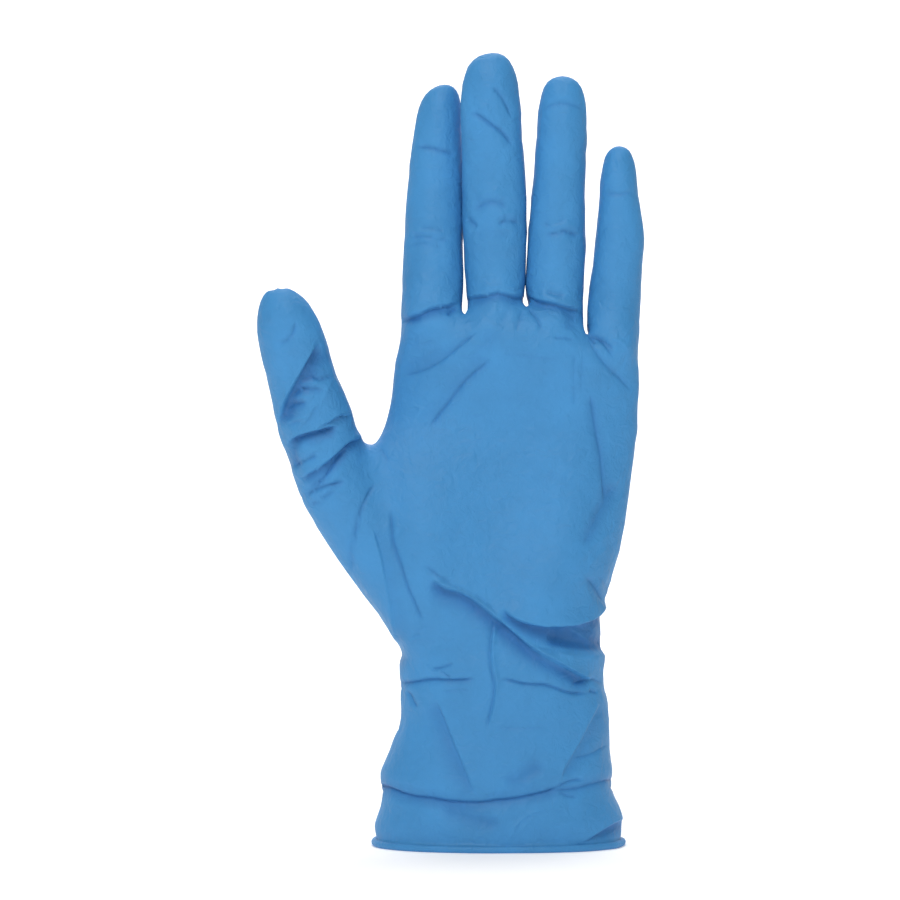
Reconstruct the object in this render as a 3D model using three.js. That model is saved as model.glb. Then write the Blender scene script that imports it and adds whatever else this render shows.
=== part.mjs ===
// A nitrile exam glove with a beaded cuff, in the shape that it has when a left hand fills it, palm to
// the front. Millimetres, +Z from the cuff to the fingertips, +X to the little finger's side, -Y out of
// the palm. The origin is the middle of the cuff's mouth. The glove is one film: an outer skin, the
// same skin set in by the wall, and a rolled bead that joins the two round the mouth.
import * as THREE from "three";

// Film and bead.
const WALL = 1;
const BEAD_DIAMETER = 2.2;

// The hand's three levels: the cuff's mouth, the wrist, and the knuckles where the fingers part.
const MOUTH_WIDTH = 75.5;
const MOUTH_DEPTH = 50;
const WRIST_WIDTH = 63;
const WRIST_DEPTH = 44;
const HAND_WIDTH = 73.7;
const HAND_DEPTH = 29;
const KNUCKLE_OFFSET = 6.5; // how far the knuckles' middle stands to the little finger's side

// From the mouth to the wrist, from there to the thumb's web, and on to the highest web between two
// fingers. The webs lie lower on the back of the hand.
const CUFF_LENGTH = 57;
const HEEL_LENGTH = 67.5;
const KNUCKLE_LENGTH = 43;
const BACK_WEB_DROP = 7;
const FRONT_WEB_DROP = 1.2;
const WEB_WIDTH = 1.5; // between two fingers where they leave their web

// The middle finger from its root to its tip, its thickness, and how much lower the hand's outer web
// edge lies than the highest web.
const FINGER_LENGTH = 78.7;
const FINGER_DEPTH = 17.5;
const WEB_DROP = 13;

// Fingers from the thumb's side, with lengths in shares of FINGER_LENGTH, widths of HAND_WIDTH and
// depths of FINGER_DEPTH. Drop says how far the web on the finger's far side lies below the highest
// web, in shares of WEB_DROP.
const FINGERS = [
  { name: "index", length: 0.928, width: 0.258, depth: 0.943, drop: 0.19 },
  { name: "middle", length: 1, width: 0.271, depth: 1, drop: 0 },
  { name: "ring", length: 0.944, width: 0.247, depth: 0.943, drop: 0.615 },
  { name: "little", length: 0.755, width: 0.217, depth: 0.829, drop: 1 },
].map(({ name, length, width, depth, drop }) => ({
  name,
  length: length * FINGER_LENGTH,
  width: width * HAND_WIDTH,
  depth: depth * FINGER_DEPTH,
  drop: drop * WEB_DROP,
}));
const OUTER_DROP = WEB_DROP / 2; // the same drop at the index finger's outer edge

// The thumb, from the middle of its ball to the tip. Its pad turns to the fingers by the twist.
const THUMB_LENGTH = 72.8;
const THUMB_WIDTH = 23;
const THUMB_DEPTH = 19.5;
const THUMB_LEAN = 20.3; // degrees
const THUMB_TWIST = 25; // degrees
const THUMB_ROOT_OUT = 12.3; // beyond the index finger's outer edge
const THUMB_ROOT_FRONT = 3.5;
const THUMB_ROOT_BELOW_WEB = 20.5;

// Sections across the hand. Up counts 0 to 1 over the cuff, to 2 over the heel and to 3 over the
// knuckles. Spread goes from 0, the wrist's size, to 1, the mouth's in the cuff and the knuckles'
// above. Left, right, front and back are shares of half that size, and ball and pad are what the ball
// of the thumb and the pad on the other side add to the front, in shares of HAND_DEPTH.
const HAND_SECTIONS = [
  { up: 0, spread: 1, left: 1, right: 1, front: 1, back: 1, ball: 0, pad: 0 },
  { up: 0.09, spread: 0.95, left: 1.02, right: 1.03, front: 1, back: 1, ball: 0, pad: 0 },
  { up: 0.18, spread: 0.85, left: 0.99, right: 1.02, front: 1, back: 1, ball: 0, pad: 0 },
  { up: 0.27, spread: 0.7, left: 1.02, right: 0.99, front: 1, back: 1, ball: 0, pad: 0 },
  { up: 0.37, spread: 0.55, left: 1.04, right: 1.01, front: 1, back: 1, ball: 0, pad: 0 },
  { up: 0.47, spread: 0.4, left: 1.01, right: 1.02, front: 1, back: 1, ball: 0, pad: 0 },
  { up: 0.58, spread: 0.25, left: 0.97, right: 1.04, front: 1, back: 1, ball: 0, pad: 0 },
  { up: 0.68, spread: 0.15, left: 0.93, right: 1.06, front: 1, back: 1, ball: 0, pad: 0 },
  { up: 0.79, spread: 0.08, left: 0.95, right: 1.05, front: 1, back: 1, ball: 0, pad: 0 },
  { up: 0.9, spread: 0.03, left: 0.96, right: 1.03, front: 1, back: 1, ball: 0, pad: 0 },
  { up: 1, spread: 0, left: 0.97, right: 1.03, front: 1, back: 1, ball: 0, pad: 0 },
  { up: 1.09, spread: 0.05, left: 1, right: 1, front: 0.96, back: 0.97, ball: 0.01, pad: 0 },
  { up: 1.24, spread: 0.18, left: 1.07, right: 0.96, front: 0.97, back: 0.96, ball: 0.05, pad: 0.06 },
  { up: 1.45, spread: 0.42, left: 1.12, right: 1, front: 0.92, back: 0.98, ball: 0.16, pad: 0.14 },
  { up: 1.7, spread: 0.7, left: 1.16, right: 1, front: 0.8, back: 1, ball: 0.22, pad: 0.12 },
  { up: 2, spread: 0.9, left: 1.21, right: 1.01, front: 0.75, back: 1, ball: 0.1, pad: 0.07 },
  { up: 2.2, spread: 0.97, left: 1.12, right: 1, front: 0.77, back: 1, ball: 0.04, pad: 0.05 },
  { up: 2.47, spread: 1, left: 1.07, right: 1, front: 0.86, back: 1, ball: 0, pad: 0.02 },
  { up: 2.75, spread: 1, left: 1.04, right: 1.01, front: 0.95, back: 0.96, ball: 0, pad: 0 },
];

// The rows that the thumb grows from, the first counted from 0, and how much each stays deep at the
// edge that the thumb is on.
const THUMB_ROW = 11;
const THUMB_DEEP = [0.1, 0.25, 0.35, 0.35, 0.15];

// Columns across the hand's front and back, in shares of the half width: two to a finger.
const COLUMNS = [-0.93, -0.72, -0.48, -0.24, 0, 0.24, 0.48, 0.72, 0.93];
const ROUNDNESS = 2.3; // the exponent of the superellipse that a section follows

// Where the ball and the pad stand out most, and how wide they are, in half widths.
const BALL_MIDDLE = -0.75;
const BALL_REACH = 0.45;
const PAD_MIDDLE = 0.52;
const PAD_REACH = 0.38;

// Each finger's sections, from root to tip. At is a share of its length, width and depth are shares of
// its own, and side and front are how far its middle strays to the little finger's side and out of the
// palm, in widths.
const FINGER_SECTIONS = {
  index: [
    { at: 0, width: 1.05, depth: 1.42, side: 0, front: 0 },
    { at: 0.12, width: 1, depth: 1.08, side: 0, front: -0.02 },
    { at: 0.32, width: 0.965, depth: 1, side: 0.02, front: -0.08 },
    { at: 0.52, width: 0.93, depth: 0.97, side: 0.04, front: -0.13 },
    { at: 0.7, width: 0.855, depth: 0.88, side: 0.07, front: -0.13 },
    { at: 0.83, width: 0.75, depth: 0.78, side: 0.095, front: -0.1 },
    { at: 0.95, width: 0.55, depth: 0.55, side: 0.15, front: -0.04 },
    { at: 1, width: 0, depth: 0, side: 0.2, front: 0 },
  ],
  middle: [
    { at: 0, width: 0.945, depth: 1.4, side: 0, front: 0 },
    { at: 0.11, width: 0.93, depth: 1.06, side: 0, front: 0.04 },
    { at: 0.3, width: 0.995, depth: 1, side: -0.01, front: 0.1 },
    { at: 0.48, width: 1, depth: 0.97, side: -0.02, front: 0.18 },
    { at: 0.66, width: 0.955, depth: 0.9, side: -0.06, front: 0.27 },
    { at: 0.8, width: 0.915, depth: 0.82, side: -0.08, front: 0.34 },
    { at: 0.94, width: 0.7, depth: 0.62, side: -0.075, front: 0.4 },
    { at: 1, width: 0, depth: 0, side: -0.05, front: 0.42 },
  ],
  ring: [
    { at: 0, width: 1.02, depth: 1.42, side: 0, front: 0 },
    { at: 0.12, width: 0.99, depth: 1.05, side: -0.015, front: 0.02 },
    { at: 0.32, width: 0.99, depth: 0.98, side: 0.015, front: 0.08 },
    { at: 0.5, width: 0.92, depth: 0.94, side: 0.04, front: 0.14 },
    { at: 0.68, width: 0.87, depth: 0.88, side: 0.08, front: 0.21 },
    { at: 0.82, width: 0.835, depth: 0.78, side: 0.105, front: 0.27 },
    { at: 0.95, width: 0.645, depth: 0.56, side: 0.11, front: 0.31 },
    { at: 1, width: 0, depth: 0, side: 0.105, front: 0.33 },
  ],
  little: [
    { at: 0, width: 1.02, depth: 1.45, side: 0, front: 0 },
    { at: 0.16, width: 1.03, depth: 1.06, side: 0.035, front: 0.02 },
    { at: 0.38, width: 0.97, depth: 0.98, side: 0.11, front: 0.06 },
    { at: 0.57, width: 0.92, depth: 0.92, side: 0.15, front: 0.1 },
    { at: 0.74, width: 0.765, depth: 0.82, side: 0.13, front: 0.15 },
    { at: 0.86, width: 0.68, depth: 0.7, side: 0.13, front: 0.19 },
    { at: 0.96, width: 0.48, depth: 0.46, side: 0.135, front: 0.22 },
    { at: 1, width: 0, depth: 0, side: 0.135, front: 0.23 },
  ],
};
const CROTCH_DEPTH = 0.68; // how far a web reaches to front and back, as a share of the fingers' half depth
const CORNER_IN = 0.25; // where a section's corner stands between its edge and its middle
const CORNER_DEPTH = 0.75;
const RING_START = 225; // degrees: a finger's first column, at the front and on the thumb's side

// The thumb's sections from its ball to the tip. Tilt is how far a section leans from square to the
// thumb, in degrees, and side and front are how far its middle strays to the fingers' side and out of
// the palm, in widths.
const THUMB_SECTIONS = [
  { at: 0, width: 1.83, depth: 1.4, side: -0.02, front: 0.04, tilt: 63 },
  { at: 0.174, width: 1.217, depth: 1.24, side: -0.15, front: 0.22, tilt: 33 },
  { at: 0.314, width: 1.026, depth: 1.1, side: -0.163, front: 0.37, tilt: 8 },
  { at: 0.428, width: 1.009, depth: 1.04, side: -0.145, front: 0.48, tilt: -4 },
  { at: 0.582, width: 0.926, depth: 1, side: -0.115, front: 0.62, tilt: -5 },
  { at: 0.736, width: 0.892, depth: 0.95, side: -0.07, front: 0.74, tilt: -6 },
  { at: 0.865, width: 0.783, depth: 0.8, side: -0.03, front: 0.83, tilt: -6 },
  { at: 0.96, width: 0.52, depth: 0.52, side: 0, front: 0.88, tilt: -10 },
  { at: 1, width: 0, depth: 0, side: 0.04, front: 0.9, tilt: 0 },
];

// Folds of the film, seen from the front (side -1) or the back (side 1). Each follows a line whose
// points are given across the hand, in half widths, and up as the sections are. Rise is how far it
// stands out, or in where it is a crease, and reach is how broad it is, in shares of FOLD_RISE and
// FOLD_REACH. A fold starts where the skin faces its side by FOLD_FACING, 1 being square to it, and has
// its full rise from FOLD_FULL on.
const FOLD_RISE = 1.6;
const FOLD_REACH = 4;
const FOLD_FACING = 0.1;
const FOLD_FULL = 0.6;
const FOLDS = [
  { side: -1, rise: -0.8, reach: 1, across: [-0.75, -0.36, 0.18, 0.89], up: [1.43, 1.31, 1.16, 0.9] },
  { side: -1, rise: 1, reach: 1.1, across: [0.02, 0.5, 0.95], up: [1.27, 1.21, 1.24] },
  { side: -1, rise: -1, reach: 0.7, across: [0.15, 0.58, 1], up: [1.14, 1.09, 1.12] },
  { side: -1, rise: -0.6, reach: 0.6, across: [-0.95, 0, 0.95], up: [0.89, 0.91, 0.85] },
  { side: -1, rise: 0.5, reach: 0.6, across: [-0.03, -0.05, -0.02, -0.06], up: [1.15, 1.02, 0.88, 0.64] },
  { side: -1, rise: -0.7, reach: 0.9, across: [-1, -0.6, -0.1, 0.2, 0.9], up: [0.3, 0.26, 0.22, 0.28, 0.3] },
  { side: -1, rise: -0.5, reach: 1, across: [-0.5, -0.33, -0.2], up: [0.6, 0.44, 0.32] },
  { side: -1, rise: -0.5, reach: 1, across: [0.88, 0.6, 0.52], up: [0.74, 0.45, 0.33] },
  { side: -1, rise: -0.6, reach: 1.8, across: [-0.95, -0.4, -0.1], up: [2.47, 2.47, 2.85] },
  { side: 1, rise: -0.7, reach: 1, across: [-0.95, 0, 0.95], up: [0.92, 0.98, 0.9] },
  { side: 1, rise: -0.5, reach: 0.8, across: [-0.9, -0.2, 0.3], up: [0.7, 0.62, 0.74] },
  { side: 1, rise: -0.7, reach: 1, across: [-0.95, 0.1, 0.95], up: [0.33, 0.26, 0.36] },
];

// How fine the skin is.
const FIT_PASSES = 8;
const BEAD_STEPS = 6;

const V = (x, y, z) => new THREE.Vector3(x, y, z);
const mix = THREE.MathUtils.lerp;
const radians = THREE.MathUtils.degToRad;
const sum = (numbers) => numbers.reduce((total, n) => total + n, 0);
const middleOf = (points) =>
  points.reduce((total, p) => total.add(p), V(0, 0, 0)).divideScalar(points.length);

// The rim of the skin stands on the bead, whose bottom is at the mouth.
const BEAD_RADIUS = BEAD_DIAMETER / 2;
const BEAD_START = Math.acos((WALL - BEAD_RADIUS) / BEAD_RADIUS);
const RIM_HEIGHT = BEAD_RADIUS * (1 + Math.sin(BEAD_START));
const WEB_HEIGHT = CUFF_LENGTH + HEEL_LENGTH;
const ROOT_HEIGHT = WEB_HEIGHT + KNUCKLE_LENGTH;
const ROOT_WIDTHS = FINGERS.map((f) => f.width * FINGER_SECTIONS[f.name][0].width);
const KNUCKLE_WIDTH = sum(ROOT_WIDTHS);

// Where the fingers meet the palm: x and z at the hand's two edges and at each web.
const ROOTS = [OUTER_DROP, ...FINGERS.map((f) => f.drop)].map((drop, n) => ({
  x: KNUCKLE_OFFSET - KNUCKLE_WIDTH / 2 + sum(ROOT_WIDTHS.slice(0, n)),
  z: ROOT_HEIGHT - drop,
}));

// The height of the root line at a share of the hand's half width.
function rootHeight(across) {
  const place = ((across + 1) / 2) * FINGERS.length;
  const n = THREE.MathUtils.clamp(Math.floor(place), 0, FINGERS.length - 1);
  return mix(ROOTS[n].z, ROOTS[n + 1].z, place - n);
}

// A height in millimetres from a section's up. Over the knuckles, sections lean to follow the root
// line, which lies lower on the back.
function heightAt(up, across, drop) {
  if (up <= 1) return mix(RIM_HEIGHT, CUFF_LENGTH, up);
  if (up <= 2) return mix(CUFF_LENGTH, WEB_HEIGHT, up - 1);
  return mix(WEB_HEIGHT, rootHeight(across) - drop, up - 2);
}

// The size of the hand at a section: the middle, half width and half depth that its shares go by.
function sizeAt({ up, spread }) {
  const [width, depth] = up < 1 ? [MOUTH_WIDTH, MOUTH_DEPTH] : [KNUCKLE_WIDTH, HAND_DEPTH];
  return {
    middle: up < 1 ? 0 : KNUCKLE_OFFSET * spread,
    halfWidth: mix(WRIST_WIDTH, width, spread) / 2,
    halfDepth: mix(WRIST_DEPTH, depth, spread) / 2,
  };
}

// The cage holds the points that the skin passes through, and the four-sided faces between them.
const cage = { points: [], faces: [] };
const addPoint = (p) => cage.points.push(p) - 1;

// Joins two rings that both run counterclockwise, seen from the second ring's side, but leaves out the
// faces that a missing point would belong to.
function joinRings(lower, upper) {
  lower.forEach((corner, i) => {
    const next = (i + 1) % lower.length;
    const face = [corner, lower[next], upper[next], upper[i]];
    if (!face.includes(undefined)) cage.faces.push(face);
  });
}

// Closes a ring with a grid that is two faces wide. Its middle row of points rises to the tip.
function closeRing(ring, tip) {
  const rows = (ring.length - 4) / 2;
  const far = ring[rows + 3];
  const grid = [];
  for (let row = 0; row <= rows; row++) {
    const reach = (2 * row) / rows - 1;
    const edge = reach < 0 ? ring[1] : far;
    const middle = tip.clone().lerp(cage.points[edge], reach * reach);
    const isEdge = row === 0 || row === rows;
    grid.push([ring[(ring.length - row) % ring.length], isEdge ? edge : addPoint(middle), ring[2 + row]]);
  }
  for (let row = 0; row < rows; row++)
    for (let column = 0; column < 2; column++)
      cage.faces.push([
        grid[row][column],
        grid[row][column + 1],
        grid[row + 1][column + 1],
        grid[row + 1][column],
      ]);
}

// A ring of the hand: the thumb's edge, nine columns of the front, the far edge, and the same columns
// of the back the other way. Where the thumb grows, its edge is open.
function handRing(section, n) {
  const { middle, halfWidth, halfDepth } = sizeAt(section);
  const row = n - THUMB_ROW;
  const place = (across, side) => {
    const turn = Math.abs(across) * (across < 0 ? 1 - (THUMB_DEEP[row] ?? 0) : 1);
    const swell = side ? (1 - turn ** ROUNDNESS) ** (1 / ROUNDNESS) : 0;
    const bump = (middle, reach) => Math.exp(-(((across - middle) / reach) ** 2));
    const ball = section.ball * bump(BALL_MIDDLE, BALL_REACH);
    const pads = HAND_DEPTH * swell * (ball + section.pad * bump(PAD_MIDDLE, PAD_REACH));
    const drop = (side * BACK_WEB_DROP + BACK_WEB_DROP) / 2;
    const x = middle + across * halfWidth * (across < 0 ? section.left : section.right);
    const y = side < 0 ? -halfDepth * swell * section.front - pads : side * halfDepth * swell * section.back;
    return addPoint(V(x, y, heightAt(section.up, across, drop)));
  };
  return [
    row > 0 && row < THUMB_DEEP.length - 1 ? undefined : place(-1, 0),
    ...COLUMNS.map((across) => place(across, -1)),
    place(1, 0),
    ...COLUMNS.toReversed().map((across) => place(across, 1)),
  ];
}

// The root line's ring: webs lie at every second column, and the fingers' middles between them.
function rootRing() {
  const halfDepths = FINGERS.map((f) => (f.depth * FINGER_SECTIONS[f.name][0].depth) / 2);
  const fingerPlace = (n) => ({
    x: (ROOTS[n].x + ROOTS[n + 1].x) / 2,
    y: halfDepths[n],
    z: (ROOTS[n].z + ROOTS[n + 1].z) / 2,
  });
  const cornerPlace = (root, n) => ({
    x: mix(root.x, fingerPlace(n).x, CORNER_IN),
    y: CORNER_DEPTH * halfDepths[n],
    z: mix(root.z, fingerPlace(n).z, CORNER_IN),
  });
  const places = [cornerPlace(ROOTS[0], 0)];
  FINGERS.forEach((finger, n) => {
    places.push(fingerPlace(n));
    if (n < FINGERS.length - 1)
      places.push({
        x: ROOTS[n + 1].x,
        y: (CROTCH_DEPTH * (halfDepths[n] + halfDepths[n + 1])) / 2,
        z: ROOTS[n + 1].z,
      });
  });
  places.push(cornerPlace(ROOTS.at(-1), FINGERS.length - 1));
  const edge = (root) => addPoint(V(root.x, 0, root.z - BACK_WEB_DROP / 2));
  const left = edge(ROOTS[0]);
  const front = places.map(({ x, y, z }) => addPoint(V(x, -y, z - FRONT_WEB_DROP)));
  const right = edge(ROOTS.at(-1));
  const back = places.toReversed().map(({ x, y, z }) => addPoint(V(x, y, z - BACK_WEB_DROP)));
  return [left, ...front, right, ...back];
}

// Each web is one face between the two fingers that leave it. Gives the points where the fingers on its
// left and right leave it, which at the hand's two edges are the root ring's own.
function addWebs(root) {
  return ROOTS.map(({ x, z }, n) => {
    const edge = { 0: root[0], [FINGERS.length]: root[COLUMNS.length + 1] }[n];
    if (edge !== undefined) return { left: edge, right: edge };
    const [left, right] = [-1, 1].map((side) => addPoint(V(x + (side * WEB_WIDTH) / 2, 0, z)));
    cage.faces.push([root[1 + 2 * n], right, root[root.length - 1 - 2 * n], left]);
    return { left, right };
  });
}

// A finger grows from its part of the root ring and the webs on both sides.
function addFinger(finger, n, root, webs) {
  const count = root.length;
  const front = [0, 1, 2].map((i) => root[2 * n + 1 + i]);
  const back = [2, 1, 0].map((i) => root[count - 1 - 2 * n - i]);
  let ring = [...front, webs[n + 1].left, ...back, webs[n].right];
  const foot = V((ROOTS[n].x + ROOTS[n + 1].x) / 2, 0, (ROOTS[n].z + ROOTS[n + 1].z) / 2);
  const centre = ({ at, side, front: forward }) =>
    foot.clone().add(V(side * finger.width, -forward * finger.width, at * finger.length));
  const sections = FINGER_SECTIONS[finger.name];
  sections.slice(1, -1).forEach((section) => {
    const next = ring.map((corner, i) => {
      const turn = radians(RING_START + (360 * i) / ring.length);
      const x = (Math.cos(turn) * finger.width * section.width) / 2;
      const y = (Math.sin(turn) * finger.depth * section.depth) / 2;
      return addPoint(centre(section).add(V(x, y, 0)));
    });
    joinRings(ring, next);
    ring = next;
  });
  closeRing(ring, centre(sections.at(-1)));
}

// The thumb grows from an opening in the hand's edge, whose ring runs from the back up the front and
// down again.
function addThumb(rings) {
  const last = rings[0].length - 1;
  const backs = rings.map((ring) => ring[last]);
  const fronts = rings.map((ring) => ring[1]);
  const ends = [rings[0][0], rings.at(-1)[0]];
  let ring = [backs[0], ends[0], ...fronts, ends[1], ...backs.slice(1).reverse()];
  const foot = V(ROOTS[0].x - THUMB_ROOT_OUT, -THUMB_ROOT_FRONT, WEB_HEIGHT - THUMB_ROOT_BELOW_WEB);
  const lean = radians(THUMB_LEAN);
  const along = V(-Math.sin(lean), 0, Math.cos(lean));
  const across = V(Math.cos(lean), 0, Math.sin(lean));
  const out = V(0, -1, 0);
  const centre = ({ at, side, front }) =>
    foot
      .clone()
      .addScaledVector(along, at * THUMB_LENGTH)
      .addScaledVector(across, side * THUMB_WIDTH)
      .addScaledVector(out, front * THUMB_WIDTH);
  THUMB_SECTIONS.slice(0, -1).forEach((section) => {
    const tilt = lean + radians(section.tilt);
    const twist = radians(THUMB_TWIST * section.at);
    const level = V(Math.cos(tilt), 0, Math.sin(tilt));
    const wide = level.clone().multiplyScalar(Math.cos(twist)).addScaledVector(out, Math.sin(twist));
    const deep = out.clone().multiplyScalar(Math.cos(twist)).addScaledVector(level, -Math.sin(twist));
    const next = ring.map((corner, i) => {
      const turn = radians((360 * (i - 1)) / ring.length) + twist;
      return addPoint(
        centre(section)
          .addScaledVector(wide, (-Math.cos(turn) * THUMB_WIDTH * section.width) / 2)
          .addScaledVector(deep, (Math.sin(turn) * THUMB_DEPTH * section.depth) / 2),
      );
    });
    joinRings(ring, next);
    ring = next;
  });
  closeRing(ring, centre(THUMB_SECTIONS.at(-1)));
}

function buildCage() {
  const rings = HAND_SECTIONS.map(handRing);
  const root = rootRing();
  rings.forEach((ring, n) => joinRings(ring, rings[n + 1] ?? root));
  const webs = addWebs(root);
  FINGERS.forEach((finger, n) => addFinger(finger, n, root, webs));
  addThumb(rings.slice(THUMB_ROW, THUMB_ROW + THUMB_DEEP.length));
}

// The edges of a mesh, with the faces on each.
function edgesOf(faces) {
  const edges = new Map();
  faces.forEach((face, f) =>
    face.forEach((a, i) => {
      const b = face[(i + 1) % face.length];
      const key = `${Math.min(a, b)} ${Math.max(a, b)}`;
      if (!edges.has(key)) edges.set(key, { ends: [a, b], faces: [] });
      edges.get(key).faces.push(f);
    }),
  );
  return edges;
}

// For each point on the rim, its two neighbours along the rim.
function rimOf(faces) {
  const rim = new Map();
  for (const { ends, faces: sides } of edgesOf(faces).values()) {
    if (sides.length > 1) continue;
    ends.forEach((end, i) => rim.set(end, [...(rim.get(end) ?? []), ends[1 - i]]));
  }
  return rim;
}

// Weighted sums round each point of a mesh of four-sided faces: of its neighbours along edges, each
// counted once for each face, of the corners across those faces, and the number of faces.
function sumsRound({ points, faces }) {
  const sums = points.map(() => ({ near: V(0, 0, 0), across: V(0, 0, 0), count: 0 }));
  for (const face of faces)
    face.forEach((corner, i) => {
      const at = sums[corner];
      at.near.add(points[face[(i + 1) % 4]]).add(points[face[(i + 3) % 4]]);
      at.across.add(points[face[(i + 2) % 4]]);
      at.count++;
    });
  return sums;
}

// Where each point comes to rest on the smooth surface that Catmull-Clark subdivision leads to.
function limitPoints(mesh) {
  const rim = rimOf(mesh.faces);
  const sums = sumsRound(mesh);
  return mesh.points.map((p, i) => {
    if (rim.has(i)) {
      const [a, b] = rim.get(i).map((n) => mesh.points[n]);
      return a.clone().add(b).addScaledVector(p, 4).divideScalar(6);
    }
    const { near, across, count } = sums[i];
    return across
      .clone()
      .addScaledVector(near, 2)
      .addScaledVector(p, count * count)
      .divideScalar(count * (count + 5));
  });
}

// One step of Catmull-Clark subdivision.
function subdivide({ points, faces }) {
  const rim = rimOf(faces);
  const sums = sumsRound({ points, faces });
  const moved = points.map((p, i) => {
    if (rim.has(i)) {
      const [a, b] = rim.get(i).map((n) => points[n]);
      return a.clone().add(b).addScaledVector(p, 6).divideScalar(8);
    }
    const { near, across, count } = sums[i];
    return across
      .clone()
      .addScaledVector(near, 3)
      .divideScalar(4 * count * count)
      .addScaledVector(p, 1 - 7 / (4 * count));
  });
  const result = { points: moved, faces: [] };
  const centres = faces.map((face) => result.points.push(middleOf(face.map((i) => points[i]))) - 1);
  const middles = new Map();
  for (const [key, { ends, faces: sides }] of edgesOf(faces)) {
    const parts = ends.map((i) => points[i]);
    if (sides.length > 1) parts.push(...sides.map((f) => result.points[centres[f]]));
    middles.set(key, result.points.push(middleOf(parts)) - 1);
  }
  const middle = (a, b) => middles.get(`${Math.min(a, b)} ${Math.max(a, b)}`);
  faces.forEach((face, f) =>
    face.forEach((corner, i) => {
      const next = face[(i + 1) % 4];
      const before = face[(i + 3) % 4];
      result.faces.push([corner, middle(corner, next), centres[f], middle(before, corner)]);
    }),
  );
  return result;
}

// Moves the cage's points out until the smooth surface passes through the places that were asked for.
function fitCage() {
  const targets = cage.points.map((p) => p.clone());
  for (let pass = 0; pass < FIT_PASSES; pass++) {
    const reached = limitPoints(cage);
    cage.points.forEach((p, i) => p.add(targets[i]).sub(reached[i]));
  }
}

// The outward direction at each point.
function normalsOf({ points, faces }) {
  const normals = points.map(() => V(0, 0, 0));
  for (const face of faces) {
    const [a, b, c, d] = face.map((i) => points[i]);
    const normal = c.clone().sub(a).cross(d.clone().sub(b)).normalize();
    face.forEach((i) => normals[i].add(normal));
  }
  return normals.map((n) => n.normalize());
}

// The points of the rim in the order in which the faces' edges run.
function rimLoop(faces) {
  const next = new Map();
  const rim = rimOf(faces);
  for (const face of faces)
    face.forEach((a, i) => {
      const b = face[(i + 1) % 4];
      if (rim.get(a)?.includes(b)) next.set(a, b);
    });
  const loop = [[...rim.keys()][0]];
  while (next.get(loop.at(-1)) !== loop[0]) loop.push(next.get(loop.at(-1)));
  return loop;
}

// Moves the skin's points along their normals where folds run past them.
function foldSkin(mesh) {
  const normals = normalsOf(mesh);
  const sections = HAND_SECTIONS.map((section) => ({ z: heightAt(section.up, 0, 0), ...sizeAt(section) }));
  const spotOf = (across, up) => {
    const z = heightAt(up, across, 0);
    const next = Math.max(1, sections.findIndex((section) => section.z >= z));
    const [below, above] = [sections[next - 1], sections[next]];
    const share = (z - below.z) / (above.z - below.z);
    const middle = mix(below.middle, above.middle, share);
    return V(middle + across * mix(below.halfWidth, above.halfWidth, share), 0, z);
  };
  const folds = FOLDS.map(({ side, rise, reach, across, up }) => {
    const spots = across.map((share, n) => spotOf(share, up[n]));
    const lines = spots.slice(1).map((spot, n) => new THREE.Line3(spots[n], spot));
    return { side, rise: rise * FOLD_RISE, reach: reach * FOLD_REACH, lines };
  });
  mesh.points.forEach((p, i) => {
    const flat = V(p.x, 0, p.z);
    const rise = folds.map((fold) => {
      const facing = THREE.MathUtils.smoothstep(fold.side * normals[i].y, FOLD_FACING, FOLD_FULL);
      const away = fold.lines.map((line) =>
        line.closestPointToPoint(flat, true, V(0, 0, 0)).distanceTo(flat),
      );
      return facing * fold.rise * Math.exp(-((Math.min(...away) / fold.reach) ** 2));
    });
    p.addScaledVector(normals[i], sum(rise));
  });
}

// The film: the outer skin, the inner skin facing in, and the bead round the rim between the two.
function buildFilm(skin) {
  const normals = normalsOf(skin);
  const loop = rimLoop(skin.faces);
  loop.forEach((i) => normals[i].setZ(0).normalize());
  const count = skin.points.length;
  const points = [...skin.points];
  skin.points.forEach((p, i) => points.push(p.clone().addScaledVector(normals[i], -WALL)));
  loop.forEach((i) => points[count + i].setZ(BEAD_RADIUS));
  const inner = skin.faces.map(([a, b, c, d]) => [a, d, c, b].map((i) => count + i));
  const quads = [...skin.faces, ...inner];
  const columns = loop.map((i) => {
    const centre = points[count + i].clone().addScaledVector(normals[i], BEAD_RADIUS);
    const column = [i];
    for (let step = 1; step < BEAD_STEPS; step++) {
      const turn = mix(BEAD_START, -Math.PI, step / BEAD_STEPS);
      const p = centre.clone().addScaledVector(normals[i], BEAD_RADIUS * Math.cos(turn));
      column.push(points.push(p.add(V(0, 0, BEAD_RADIUS * Math.sin(turn)))) - 1);
    }
    return [...column, count + i];
  });
  columns.forEach((column, n) => {
    const next = columns[(n + 1) % columns.length];
    for (let step = 0; step < BEAD_STEPS; step++)
      quads.push([next[step], column[step], column[step + 1], next[step + 1]]);
  });
  return { points, quads };
}

function toGeometry({ points, quads }) {
  const geometry = new THREE.BufferGeometry().setFromPoints(points);
  geometry.setIndex(quads.flatMap(([a, b, c, d]) => [a, b, c, a, c, d]));
  geometry.computeVertexNormals();
  return geometry;
}

buildCage();
fitCage();
const skin = subdivide(cage);
skin.points = limitPoints(skin);
foldSkin(skin);

const nitrile = new THREE.MeshStandardMaterial({ color: 0x4b8ec4, roughness: 0.5, metalness: 0 });
const glove = new THREE.Mesh(toGeometry(buildFilm(skin)), nitrile);
glove.name = "glove";

const group = new THREE.Group();
group.add(glove);

export default group;
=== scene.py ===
"""A light blue nitrile exam glove in the shape that it has on a left hand, palm to the front.

Sizes are in millimetres until a mesh is written. +Z runs from the cuff to the fingertips, +X to the
little finger's side and -Y out of the palm. The origin is the middle of the cuff's mouth.
"""

import math
from collections import Counter, namedtuple

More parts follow.
